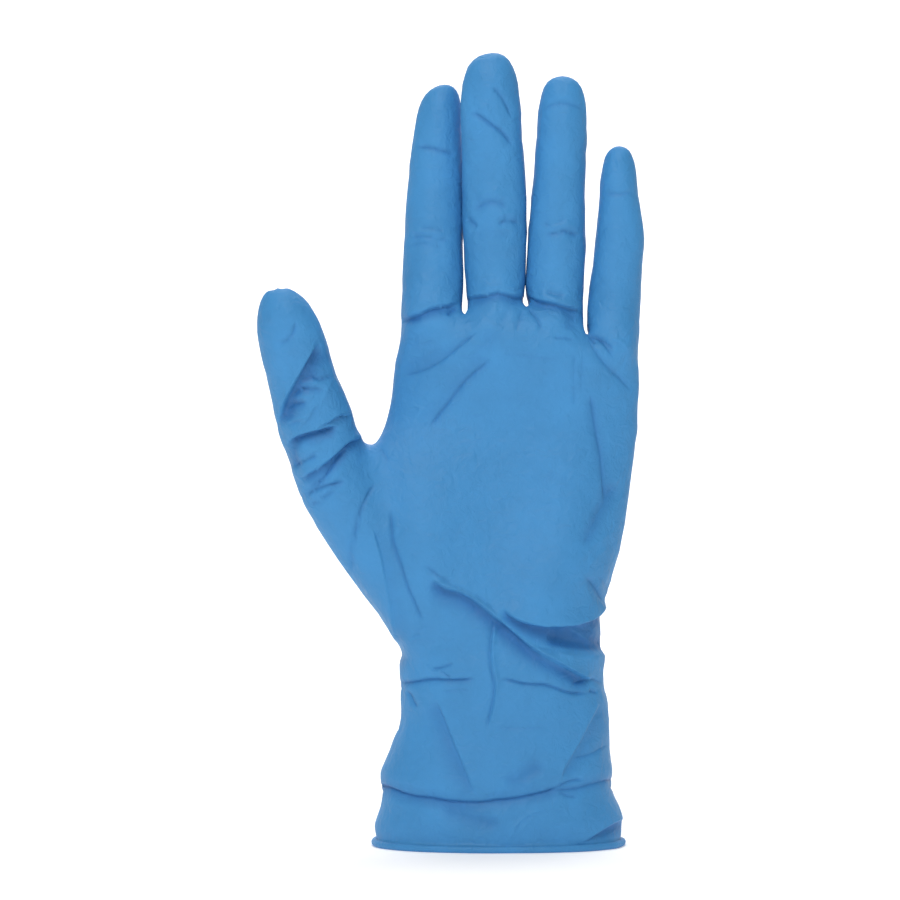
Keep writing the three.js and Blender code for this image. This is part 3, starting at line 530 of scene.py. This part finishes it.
def hand_ring(row, section, rim):
    """Points round the hand: the thumb's edge, nine over the front, the far edge and nine over the back."""
    width, depth = (MOUTH_WIDTH, MOUTH_DEPTH) if section.up < 1 else (KNUCKLE_WIDTH, HAND_DEPTH)
    middle = 0 if section.up < 1 else KNUCKLE_OFFSET * section.spread
    half_width = mix(WRIST_WIDTH, width, section.spread) / 2
    half_depth = mix(WRIST_DEPTH, depth, section.spread) / 2
    on_thumb = THUMB_ROW <= row < THUMB_ROW + len(THUMB_DEEP)
    deep = THUMB_DEEP[row - THUMB_ROW] if on_thumb else 0

    def place(across, side):
        turn = abs(across) * (1 - deep if across < 0 else 1)
        swell = (1 - turn ** ROUNDNESS) ** (1 / ROUNDNESS) if side else 0
        ball = section.ball * math.exp(-(((across - BALL_MIDDLE) / BALL_REACH) ** 2))
        pad = section.pad * math.exp(-(((across - PAD_MIDDLE) / PAD_REACH) ** 2))
        x = middle + across * half_width * (section.left if across < 0 else section.right)
        if side < 0:
            y = -half_depth * swell * section.front - HAND_DEPTH * swell * (ball + pad)
        else:
            y = side * half_depth * swell * section.back
        return Vector((x, y, height_at(section.up, across, (side + 1) * BACK_WEB_DROP / 2, rim)))

    front = [place(across, -1) for across in COLUMNS]
    back = [place(across, 1) for across in reversed(COLUMNS)]
    return [place(-1, 0), *front, place(1, 0), *back]


def root_ring():
    """The ring at the fingers' roots: webs at every second column, and the fingers' middles between."""
    half_depths = [finger.depth * finger.sections[0].depth / 2 for finger in FINGERS.values()]

    def finger_place(n):
        return [(ROOTS[n][0] + ROOTS[n + 1][0]) / 2, half_depths[n], (ROOTS[n][1] + ROOTS[n + 1][1]) / 2]

    def corner_place(root, n):
        middle = finger_place(n)
        return [mix(root[0], middle[0], CORNER_IN), CORNER_DEPTH * half_depths[n],
                mix(root[1], middle[2], CORNER_IN)]

    last = len(FINGERS) - 1
    places = [corner_place(ROOTS[0], 0)]
    for n in range(len(FINGERS)):
        places.append(finger_place(n))
        if n < last:
            depth = CROTCH_DEPTH * (half_depths[n] + half_depths[n + 1]) / 2
            places.append([ROOTS[n + 1][0], depth, ROOTS[n + 1][1]])
    places.append(corner_place(ROOTS[-1], last))
    left, right = [Vector((x, 0, z - BACK_WEB_DROP / 2)) for x, z in (ROOTS[0], ROOTS[-1])]
    front = [Vector((x, -y, z - FRONT_WEB_DROP)) for x, y, z in places]
    back = [Vector((x, y, z - BACK_WEB_DROP)) for x, y, z in reversed(places)]
    return [left, *front, right, *back]


def finger_rings(n, finger, first):
    """A finger's rings from its root, and its tip."""
    foot = Vector(((ROOTS[n][0] + ROOTS[n + 1][0]) / 2, 0, (ROOTS[n][1] + ROOTS[n + 1][1]) / 2))
    rings = [first]
    for section in finger.sections[1:]:
        middle = foot + Vector((section.side * finger.width, -section.front * finger.width,
                                section.at * finger.length))
        ring = []
        for i in range(len(first)):
            turn = math.radians(RING_START + 360 * i / len(first))
            ring.append(middle + Vector((math.cos(turn) * finger.width * section.width / 2,
                                         math.sin(turn) * finger.depth * section.depth / 2, 0)))
        rings.append(ring)
    return rings[:-1], rings[-1][0]


def thumb_rings(first):
    """The thumb's rings from its opening in the hand's edge, and its tip."""
    foot = Vector((ROOTS[0][0] - THUMB_ROOT_OUT, -THUMB_ROOT_FRONT, WEB_HEIGHT - THUMB_ROOT_BELOW_WEB))
    lean = math.radians(THUMB_LEAN)
    along = Vector((-math.sin(lean), 0, math.cos(lean)))
    across = Vector((math.cos(lean), 0, math.sin(lean)))
    out = Vector((0, -1, 0))
    rings = [first]
    for section in THUMB_RINGS:
        middle = foot + along * (section.at * THUMB_LENGTH)
        middle = middle + across * (section.side * THUMB_WIDTH) + out * (section.front * THUMB_WIDTH)
        tilt = lean + math.radians(section.tilt)
        twist = math.radians(THUMB_TWIST * section.at)
        level = Vector((math.cos(tilt), 0, math.sin(tilt)))
        wide = level * math.cos(twist) + out * math.sin(twist)
        deep = out * math.cos(twist) - level * math.sin(twist)
        ring = []
        for i in range(len(first)):
            turn = math.radians(360 * (i - 1) / len(first)) + twist
            ring.append(middle - wide * (math.cos(turn) * THUMB_WIDTH * section.width / 2)
                        + deep * (math.sin(turn) * THUMB_DEPTH * section.depth / 2))
        rings.append(ring)
    return rings[:-1], rings[-1][0]


def deselect_all():
    """Leaves nothing selected, in either mode."""
    if bpy.context.mode == "EDIT_MESH":
        bpy.ops.mesh.select_all(action="DESELECT")
    else:
        bpy.ops.object.select_all(action="DESELECT")


def take_only(piece):
    """Makes a piece the only selected and the active one."""
    deselect_all()
    piece.select_set(True)
    bpy.context.view_layer.objects.active = piece


def nearest(places, point):
    """The number of the place that lies nearest to a point."""
    return min(range(len(places)), key=lambda i: (places[i] - point).length_squared)


def extrude_ring(piece, ring, onward):
    """Extrudes the open edges along a ring of points, and puts the new points in their own places."""
    deselect_all()
    mesh = bmesh.from_edit_mesh(piece.data)
    spots = [vert.co for vert in mesh.verts]
    mesh.verts.ensure_lookup_table()
    chosen = {mesh.verts[nearest(spots, place)] for place in ring}
    for edge in mesh.edges:
        if edge.verts[0] in chosen and edge.verts[1] in chosen and len(edge.link_faces) < 2:
            edge.select_set(True)
    bmesh.update_edit_mesh(piece.data)
    bpy.ops.mesh.extrude_region_move()
    mesh = bmesh.from_edit_mesh(piece.data)
    for vert in [vert for vert in mesh.verts if vert.select]:
        vert.co = onward[nearest(ring, vert.co)]
    bmesh.update_edit_mesh(piece.data)


def add_grid(piece, rows):
    """Adds a grid whose points take the places given in rows, and merges its border with what it meets."""
    deselect_all()
    bpy.ops.mesh.primitive_grid_add(x_subdivisions=len(rows[0]) - 1, y_subdivisions=len(rows) - 1, size=1)
    mesh = bmesh.from_edit_mesh(piece.data)
    points = [vert for vert in mesh.verts if vert.select]
    points.sort(key=lambda vert: (round(vert.co.y, 3), vert.co.x))
    for vert, place in zip(points, [place for row in rows for place in row]):
        vert.co = place
    bmesh.update_edit_mesh(piece.data)
    bpy.ops.mesh.select_all(action="SELECT")
    bpy.ops.mesh.remove_doubles(threshold=SAME_PLACE)


def close_ring(piece, ring, tip):
    """Closes a ring with a grid two faces wide, whose middle row of points rises to the tip."""
    count = (len(ring) - 4) // 2
    far = ring[count + 3]
    rows = []
    for row in range(count + 1):
        reach = 2 * row / count - 1
        edge = ring[1] if reach < 0 else far
        middle = edge if row in (0, count) else tip.lerp(edge, reach * reach)
        rows.append([ring[-row], middle, ring[2 + row]])
    add_grid(piece, rows)


def add_hand(piece, rim):
    """Extrudes the hand ring by ring, opens it for the thumb and spans the webs between the fingers."""
    rings = [hand_ring(row, section, rim) for row, section in enumerate(HAND_SECTIONS)]
    root = root_ring()
    mesh = bmesh.from_edit_mesh(piece.data)
    mesh.verts.ensure_lookup_table()
    for vert, place in zip(mesh.verts, rings[0]):
        vert.co = place
    bmesh.update_edit_mesh(piece.data)
    for ring, onward in zip(rings, [*rings[1:], root]):
        extrude_ring(piece, ring, onward)
    opening = rings[THUMB_ROW:THUMB_ROW + len(THUMB_DEEP)]
    deselect_all()
    mesh = bmesh.from_edit_mesh(piece.data)
    inner = [ring[0] for ring in opening[1:-1]]
    for face in mesh.faces:
        gaps = [(vert.co - place).length for vert in face.verts for place in inner]
        face.select_set(min(gaps) < SAME_PLACE)
    bmesh.update_edit_mesh(piece.data)
    bpy.ops.mesh.delete(type="FACE")
    webs = [(root[0], root[0])]
    for n in range(1, len(FINGERS)):
        x, z = ROOTS[n]
        left, right = [Vector((x + side * WEB_WIDTH / 2, 0, z)) for side in (-1, 1)]
        add_grid(piece, [[root[1 + 2 * n], right], [left, root[-1 - 2 * n]]])
        webs.append((left, right))
    webs.append((root[len(COLUMNS) + 1], root[len(COLUMNS) + 1]))
    return opening, root, webs


def add_digits(piece, opening, root, webs):
    """Grows the four fingers from the root ring and the thumb from its opening."""
    count = len(root)
    for n, finger in enumerate(FINGERS.values()):
        front = [root[2 * n + 1 + i] for i in (0, 1, 2)]
        back = [root[count - 1 - 2 * n - i] for i in (2, 1, 0)]
        rings, tip = finger_rings(n, finger, [*front, webs[n + 1][0], *back, webs[n][1]])
        for ring, onward in zip(rings, rings[1:]):
            extrude_ring(piece, ring, onward)
        close_ring(piece, rings[-1], tip)
    fronts = [ring[1] for ring in opening]
    backs = [ring[-1] for ring in opening]
    first = [backs[0], opening[0][0], *fronts, opening[-1][0], *reversed(backs[1:])]
    rings, tip = thumb_rings(first)
    for ring, onward in zip(rings, rings[1:]):
        extrude_ring(piece, ring, onward)
    close_ring(piece, rings[-1], tip)


def points_of(piece):
    """A mesh's points as an array."""
    points = np.empty(len(piece.data.vertices) * 3)
    piece.data.vertices.foreach_get("co", points)
    return points.reshape(-1, 3)


def move_points(piece, points):
    """Puts a mesh's points in the places of an array."""
    piece.data.vertices.foreach_set("co", points.reshape(-1))
    piece.data.update()


def normals_of(piece):
    """The outward directions at a mesh's points."""
    normals = np.empty(len(piece.data.vertices) * 3)
    piece.data.vertices.foreach_get("normal", normals)
    return normals.reshape(-1, 3)


def fit_cage(piece):
    """Moves the cage's points out until the smooth surface passes through the places asked for."""
    faces = np.array([list(face.vertices) for face in piece.data.polygons])
    targets = points_of(piece)
    count = np.zeros(len(targets))
    np.add.at(count, faces, 1)
    sides = [(a, b) for face in faces for a, b in zip(face, np.roll(face, -1))]
    faces_beside = Counter((min(a, b), max(a, b)) for a, b in sides)
    rim = {}
    for (a, b), number in faces_beside.items():
        if number == 1:
            rim.setdefault(a, []).append(b)
            rim.setdefault(b, []).append(a)
    rim_points = np.array(list(rim))
    beside = np.array(list(rim.values()))
    points = targets.copy()
    for _ in range(FIT_PASSES):
        near = np.zeros_like(points)
        across = np.zeros_like(points)
        for corner in range(4):
            own = faces[:, corner]
            np.add.at(near, own, points[faces[:, (corner + 1) % 4]] + points[faces[:, (corner + 3) % 4]])
            np.add.at(across, own, points[faces[:, (corner + 2) % 4]])
        n = count[:, None]
        reached = (across + 2 * near + n * n * points) / (n * (n + 5))
        reached[rim_points] = (points[beside].sum(axis=1) + 4 * points[rim_points]) / 6
        points += targets - reached
    move_points(piece, points)


def smooth_line(line):
    """A fold's line in millimetres, as close points on a smooth curve through those of its table."""
    spots = np.array([((x - MIDLINE) * STEP, (HEM - y) * STEP) for x, y in line])
    ends = np.vstack([2 * spots[0] - spots[1], spots, 2 * spots[-1] - spots[-2]])
    curve = []
    for a, b, c, d in zip(ends, ends[1:], ends[2:], ends[3:]):
        pieces = max(2, int(np.linalg.norm(c - b) / LINE_STEP))
        for share in np.arange(pieces) / pieces:
            curve.append(0.5 * (2 * b + (c - a) * share + (2 * a - 5 * b + 4 * c - d) * share ** 2
                                + (3 * b - 3 * c + d - a) * share ** 3))
    return np.array([*curve, spots[-1]])


def fold_over(points, fold):
    """The points near a fold: their numbers, their ways to the left of its line, and its strength there."""
    line = smooth_line(fold.line)
    margin = FOLD_MARGIN * fold.reach + fold.fall * (fold.drop > 0)
    flat = SEEN_MIDDLE + (points[:, [0, 2]] - SEEN_MIDDLE) * (SEEN_FROM / (SEEN_FROM + points[:, 1:2]))
    inside = (flat > line.min(axis=0) - margin) & (flat < line.max(axis=0) + margin)
    close = np.flatnonzero(inside.all(axis=1))
    starts, ways = line[:-1], np.diff(line, axis=0)
    lengths = np.linalg.norm(ways, axis=1)
    offsets = flat[close][:, None] - starts[None]
    shares = np.clip((offsets * ways).sum(axis=2) / lengths ** 2, 0, 1)
    gaps = offsets - shares[..., None] * ways
    distances = np.linalg.norm(gaps, axis=2)
    best = distances.argmin(axis=1)
    rows = np.arange(len(close))
    way, gap = ways[best], gaps[rows, best]
    side = np.where(way[:, 0] * gap[:, 1] - way[:, 1] * gap[:, 0] > 0, 1, -1)
    passed = np.concatenate([[0], np.cumsum(lengths)])
    along = (passed[best] + shares[rows, best] * lengths[best]) / passed[-1]
    fade = min(FADE_MOST, FADE / passed[-1])
    taper = smoothstep(0, fade, along) * smoothstep(0, fade, 1 - along)
    return close, distances[rows, best] * side, taper


def fold_shape(fold, away):
    """How far a fold lifts the film at ways to the left of its line."""
    distance = np.abs(away)
    reach = fold.reach * np.where(away > 0, 1 + fold.lean, 1 - fold.lean)
    shape = fold.rise * np.exp(-((distance / reach) ** fold.blunt))
    if fold.rise < 0:
        shape -= SHOULDER * fold.rise * np.exp(-((distance / reach - SHOULDER_PLACE) ** 2))
    step = smoothstep(-STEP_REACH, STEP_REACH, -away) * np.exp(-((distance / fold.fall) ** 2))
    return shape - fold.cut * np.exp(-((distance / CUT_REACH) ** 2)) - fold.drop * step


def fold_skin(piece, folds, side, strength, rim):
    """Lifts a skin along its folds, and gives how far each point was lifted."""
    points, normals = points_of(piece), normals_of(piece)
    facing = smoothstep(FACING_FROM, FACING_FULL, side * normals[:, 1])
    facing *= smoothstep(rim.height, rim.height + BEAD_CLEAR, points[:, 2])
    rise = np.zeros(len(points))
    for fold in folds:
        close, away, taper = fold_over(points, fold)
        rise[close] += fold_shape(fold, away) * taper * facing[close] * strength
    move_points(piece, points + normals * rise[:, None])
    return rise


def smooth_copy(cage, name, level):
    """A copy of the cage, subdivided smooth."""
    take_only(cage)
    bpy.ops.object.duplicate()
    skin = bpy.context.object
    skin.name = name
    modifier = skin.modifiers.new("smooth", "SUBSURF")
    modifier.levels = modifier.render_levels = level
    bpy.ops.object.modifier_apply(modifier=modifier.name)
    return skin


def refine(piece, folds, side, reach):
    """Subdivides the faces that lie within reach of the lines of folds on one side."""
    points, normals = points_of(piece), normals_of(piece)
    near = np.zeros(len(points), bool)
    for fold in folds:
        close, away, _ = fold_over(points, fold)
        near[close[np.abs(away) < reach]] = True
    near &= side * normals[:, 1] > FACING_FROM
    take_only(piece)
    bpy.ops.object.mode_set(mode="EDIT")
    bpy.ops.mesh.select_mode(type="FACE")
    deselect_all()
    bpy.ops.object.mode_set(mode="OBJECT")
    for face in piece.data.polygons:
        face.select = any(near[i] for i in face.vertices)
    bpy.ops.object.mode_set(mode="EDIT")
    bpy.ops.mesh.subdivide(number_cuts=1)
    bpy.ops.object.mode_set(mode="OBJECT")


def crumple(piece, height):
    """Raises and lowers a skin softly all over."""
    take_only(piece)
    texture = bpy.data.textures.new("crumple", "CLOUDS")
    texture.noise_scale = CRUMPLE_BREADTH
    texture.noise_depth = 1
    modifier = piece.modifiers.new("crumple", "DISPLACE")
    modifier.texture = texture
    modifier.texture_coords = "LOCAL"
    modifier.mid_level = 0.5
    modifier.strength = height
    bpy.ops.object.modifier_apply(modifier=modifier.name)
    bpy.data.textures.remove(texture)


def settle_on(piece, target):
    """Draws a skin's points onto a finer copy, which is then removed."""
    take_only(piece)
    modifier = piece.modifiers.new("settle", "SHRINKWRAP")
    modifier.target = target
    modifier.wrap_method = "NEAREST_SURFACEPOINT"
    bpy.ops.object.modifier_apply(modifier=modifier.name)
    bpy.data.objects.remove(target)


def select_rim():
    """Selects the open edges in edit mode."""
    deselect_all()
    bpy.ops.mesh.select_mode(type="EDGE")
    bpy.ops.mesh.select_non_manifold(extend=False, use_wire=False, use_multi_face=False,
                                     use_non_contiguous=False, use_verts=False)


def rim_in_order(mesh):
    """The selected points of an open mesh, sorted round the mouth."""
    chosen = [vert for vert in mesh.verts if vert.select]
    return sorted(chosen, key=lambda vert: math.atan2(vert.co.y, vert.co.x))


def roll_bead(piece, rim):
    """Rolls the bead outwards round the mouth, from the outer skin's rim down and in."""
    take_only(piece)
    bpy.ops.object.mode_set(mode="EDIT")
    select_rim()
    mesh = bmesh.from_edit_mesh(piece.data)
    start = [vert.co.copy() for vert in rim_in_order(mesh)]
    outs = []
    for before, after in zip([start[-1], *start[:-1]], [*start[1:], start[0]]):
        outs.append(Vector((after.y - before.y, before.x - after.x, 0)).normalized())
    for step in range(1, BEAD_STEPS + 1):
        turn = mix(rim.start, -math.pi, step / BEAD_STEPS)
        reach = rim.radius - rim.wall + rim.radius * math.cos(turn)
        bpy.ops.mesh.extrude_region_move()
        mesh = bmesh.from_edit_mesh(piece.data)
        for vert, place, out in zip(rim_in_order(mesh), start, outs):
            vert.co = place + out * reach
            vert.co.z = rim.radius * (1 + math.sin(turn))
        bmesh.update_edit_mesh(piece.data)
    bpy.ops.object.mode_set(mode="OBJECT")


def line_film(outer, inner, rim):
    """Sets the inner skin in from the outer one, joins the two and closes the film inside the bead."""
    points, normals = points_of(inner), normals_of(inner)
    on_rim = points[:, 2] < rim.height + SAME_PLACE
    normals[on_rim, 2] = 0
    normals /= np.linalg.norm(normals, axis=1)[:, None]
    wall = mix(rim.wall, INNER_WALL, smoothstep(rim.height, INNER_WALL_HEIGHT, points[:, 2]))
    move_points(inner, points - normals * wall[:, None])
    inner.data.flip_normals()
    take_only(outer)
    inner.select_set(True)
    bpy.ops.object.join()
    bpy.ops.object.mode_set(mode="EDIT")
    select_rim()
    bpy.ops.mesh.bridge_edge_loops()
    bpy.ops.mesh.select_all(action="SELECT")
    bpy.ops.mesh.normals_make_consistent(inside=False)
    bpy.ops.object.mode_set(mode="OBJECT")


def require_closed(piece):
    """Raises an error if a mesh has an edge without a face on each side."""
    mesh = bmesh.new()
    mesh.from_mesh(piece.data)
    loose = sum(not edge.is_manifold for edge in mesh.edges)
    mesh.free()
    if loose:
        raise RuntimeError(f"The film is open or doubled at {loose} edges.")


class MESH_OT_add_exam_glove(bpy.types.Operator):
    """Add the glove: one film with an outer and an inner skin, joined by the rolled bead"""
    bl_idname = "mesh.add_exam_glove"
    bl_label = "Exam Glove"

    def execute(self, context):
        settings = context.scene.glove
        rim = rim_of(settings)
        deselect_all()
        count = len(hand_ring(0, HAND_SECTIONS[0], rim))
        bpy.ops.mesh.primitive_circle_add(vertices=count, radius=MOUTH_WIDTH / 2, fill_type="NOTHING")
        cage = context.object
        cage.name = "cage"
        bpy.ops.object.mode_set(mode="EDIT")
        bpy.ops.mesh.select_mode(type="EDGE")
        add_digits(cage, *add_hand(cage, rim))
        bpy.ops.mesh.select_all(action="SELECT")
        bpy.ops.mesh.normals_make_consistent(inside=False)
        bpy.ops.object.mode_set(mode="OBJECT")
        fit_cage(cage)
        glove = smooth_copy(cage, "exam_glove", SKIN_LEVEL)
        lining = smooth_copy(cage, "lining", SKIN_LEVEL)
        fine = smooth_copy(cage, "fine", FINE_LEVEL)
        bpy.data.objects.remove(cage)
        for reach in REFINED:
            refine(glove, BROAD_FOLDS + CREASES, -1, reach)
        for reach in BACK_REFINED:
            refine(glove, BACK_FOLDS, 1, reach)
        settle_on(glove, fine)
        crumple(glove, settings.crumple / MM)
        depth = fold_skin(glove, BROAD_FOLDS + CREASES, -1, settings.folds, rim)
        depth += fold_skin(glove, BACK_FOLDS, 1, settings.folds, rim)
        # Each point keeps how deep it was folded, and the material paints shade into the creases from it.
        layer = glove.data.attributes.new("fold", "FLOAT", "POINT")
        layer.data.foreach_set("value", depth)
        fold_skin(lining, BROAD_FOLDS, -1, settings.folds, rim)
        fold_skin(lining, BACK_FOLDS, 1, settings.folds, rim)
        roll_bead(glove, rim)
        line_film(glove, lining, rim)
        require_closed(glove)
        move_points(glove, points_of(glove) * MM)
        take_only(glove)
        bpy.ops.object.shade_smooth()
        glove.data.materials.clear()
        glove.data.materials.append(nitrile(settings))
        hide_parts("glove")
        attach(glove, "root")
        return {"FINISHED"}


def add_node(material, kind, settings=(), links=()):
    """A new node of a material, with its inputs or properties set and its inputs linked."""
    node = material.node_tree.nodes.new(kind)
    for key, value in dict(settings).items():
        if key in node.inputs:
            node.inputs[key].default_value = value
        else:
            setattr(node, key, value)
    for key, socket in dict(links).items():
        material.node_tree.links.new(socket, node.inputs[key])
    return node


def nitrile(settings):
    """Dipped nitrile rubber: a matte film with cloudy patches and fine grain, with shade painted into its
    creases as a deeper blue.
    """
    material = bpy.data.materials.new("dipped nitrile")
    material.use_nodes = True
    place = add_node(material, "ShaderNodeTexCoord").outputs["Object"]
    # Patches a centimetre or two across, where the film was dipped a little thicker or thinner.
    patches = add_node(material, "ShaderNodeTexNoise", {"Scale": 1 / (PATCH * MM), "Detail": 3},
                       {"Vector": place}).outputs["Fac"]
    # The film's fine matte grain.
    grain = add_node(material, "ShaderNodeTexNoise", {"Scale": 1 / (GRAIN * MM), "Detail": 2},
                     {"Vector": place}).outputs["Fac"]
    # Short wrinkles that are too fine for the mesh.
    wrinkles = add_node(material, "ShaderNodeTexNoise",
                        {"Scale": 1 / (WRINKLE * MM), "Detail": 3, "Distortion": 0.6},
                        {"Vector": place}).outputs["Fac"]
    # How far a point was folded in or out, in millimetres.
    fold = add_node(material, "ShaderNodeAttribute", {"attribute_name": "fold"}).outputs["Fac"]
    # Painted shade: the deepest creases are coloured a little over half way to the darker blue, standing in
    # for the shade that falls in them.
    deep = add_node(material, "ShaderNodeMapRange",
                    {"From Min": 0, "From Max": -1.2, "To Min": 0, "To Max": 0.55},
                    {"Value": fold}).outputs["Result"]
    # A patch is up to 7% lighter or darker than the rest.
    lit = add_node(material, "ShaderNodeMapRange",
                   {"From Min": 0.25, "From Max": 0.75, "To Min": 0.93, "To Max": 1.07},
                   {"Value": patches}).outputs["Result"]
    # The film's colour, with the painted crease shade mixed in where it is folded deep.
    tone = add_node(material, "ShaderNodeMixRGB", {"Color1": settings.colour, "Color2": settings.painted_crease_shade},
                    {"Fac": deep}).outputs["Color"]
    tone = add_node(material, "ShaderNodeHueSaturation", {}, {"Color": tone, "Value": lit}).outputs["Color"]
    # The lighter patches are also a little duller.
    sheen = add_node(material, "ShaderNodeMapRange",
                     {"From Min": 0.3, "From Max": 0.7, "To Min": 0.5, "To Max": 0.62},
                     {"Value": patches}).outputs["Result"]
    rough = add_node(material, "ShaderNodeBump", {"Strength": 0.25, "Distance": GRAIN_RISE * MM},
                     {"Height": grain}).outputs["Normal"]
    normal = add_node(material, "ShaderNodeBump", {"Strength": 1, "Distance": WRINKLE_RISE * MM},
                      {"Height": wrinkles, "Normal": rough}).outputs["Normal"]
    shader = material.node_tree.nodes["Principled BSDF"]
    shader.inputs["Specular IOR Level"].default_value = 0.3
    for socket, value in (("Base Color", tone), ("Roughness", sheen), ("Normal", normal)):
        material.node_tree.links.new(value, shader.inputs[socket])
    return material


class MESH_OT_add_glove_stage(bpy.types.Operator):
    """Add the pale floor, the soft lights and the camera"""
    bl_idname = "mesh.add_glove_stage"
    bl_label = "Glove Studio"

    def execute(self, context):
        scene = context.scene
        settings = scene.glove_stage
        deselect_all()
        bpy.ops.mesh.primitive_plane_add(size=1)
        sweep = context.object
        sweep.name = "sweep"
        for vert in sweep.data.vertices:
            reach = SWEEP_BACK if vert.co.y > 0 else SWEEP_FRONT
            vert.co = (math.copysign(SWEEP_WIDTH / 2, vert.co.x), reach, 0)
        bpy.ops.object.mode_set(mode="EDIT")
        bpy.ops.mesh.select_mode(type="EDGE")
        deselect_all()
        mesh = bmesh.from_edit_mesh(sweep.data)
        for edge in mesh.edges:
            edge.select_set(all(vert.co.y > 0 for vert in edge.verts))
        bmesh.update_edit_mesh(sweep.data)
        for step in range(SWEEP_STEPS):
            turn = math.radians(90 * (step + 0.5) / SWEEP_STEPS)
            stride = SWEEP_BEND * math.radians(90) / SWEEP_STEPS
            move = (0, math.cos(turn) * stride, math.sin(turn) * stride)
            bpy.ops.mesh.extrude_region_move(TRANSFORM_OT_translate={"value": move})
        bpy.ops.mesh.extrude_region_move(TRANSFORM_OT_translate={"value": (0, 0, SWEEP_WALL)})
        bpy.ops.mesh.select_all(action="SELECT")
        bpy.ops.mesh.normals_make_consistent(inside=False)
        bpy.ops.object.mode_set(mode="OBJECT")
        bpy.ops.object.shade_smooth()
        # Matte white paper, lit so that it reads as white all over.
        paper = bpy.data.materials.new("white paper")
        paper.use_nodes = True
        shader = paper.node_tree.nodes["Principled BSDF"]
        shader.inputs["Base Color"].default_value = settings.paper
        shader.inputs["Roughness"].default_value = 0.95
        shader.inputs["Emission Color"].default_value = settings.paper
        shader.inputs["Emission Strength"].default_value = settings.glow
        sweep.data.materials.append(paper)
        world = bpy.data.worlds.new("studio")
        world.use_nodes = True
        world.node_tree.nodes["Background"].inputs["Color"].default_value = (1, 1, 1, 1)
        world.node_tree.nodes["Background"].inputs["Strength"].default_value = settings.room
        scene.world = world
        for spec, power in zip(LAMPS, (settings.key, settings.backdrop)):
            lamp = bpy.data.lights.new(spec.name, "AREA")
            lamp.size = spec.size
            lamp.energy = power
            light = bpy.data.objects.new(spec.name, lamp)
            light.location = spec.place
            light.rotation_euler = (spec.aim - spec.place).to_track_quat("-Z", "Y").to_euler()
            scene.collection.objects.link(light)
        lens = bpy.data.cameras.new("camera")
        lens.lens = LENS
        camera = bpy.data.objects.new("camera", lens)
        camera.location = TARGET - Vector((0, CAMERA_AWAY, 0))
        camera.rotation_euler = (math.radians(90), 0, 0)
        scene.collection.objects.link(camera)
        scene.camera = camera
        scene.view_settings.view_transform = "Standard"
        return {"FINISHED"}


class VIEW3D_PT_glove(bpy.types.Panel):
    """The glove's settings and operators"""
    bl_label = "Exam Glove"
    bl_idname = "VIEW3D_PT_glove"
    bl_space_type = "VIEW_3D"
    bl_region_type = "UI"
    bl_category = "Glove"

    def draw(self, context):
        for name in GloveSettings.__annotations__:
            self.layout.prop(context.scene.glove, name)
        self.layout.operator(MESH_OT_add_exam_glove.bl_idname)
        for name in StageSettings.__annotations__:
            self.layout.prop(context.scene.glove_stage, name)
        self.layout.operator(MESH_OT_add_glove_stage.bl_idname)


CLASSES = (GloveSettings, StageSettings, MESH_OT_add_exam_glove, MESH_OT_add_glove_stage, VIEW3D_PT_glove)


def register():
    for cls in CLASSES:
        bpy.utils.register_class(cls)
    bpy.types.Scene.glove = bpy.props.PointerProperty(type=GloveSettings)
    bpy.types.Scene.glove_stage = bpy.props.PointerProperty(type=StageSettings)


def unregister():
    del bpy.types.Scene.glove_stage
    del bpy.types.Scene.glove
    for cls in reversed(CLASSES):
        bpy.utils.unregister_class(cls)


def main():
    """Makes the glove and its studio."""
    register()
    bpy.ops.mesh.add_exam_glove()
    bpy.ops.mesh.add_glove_stage()


if __name__ == "__main__":
    main()
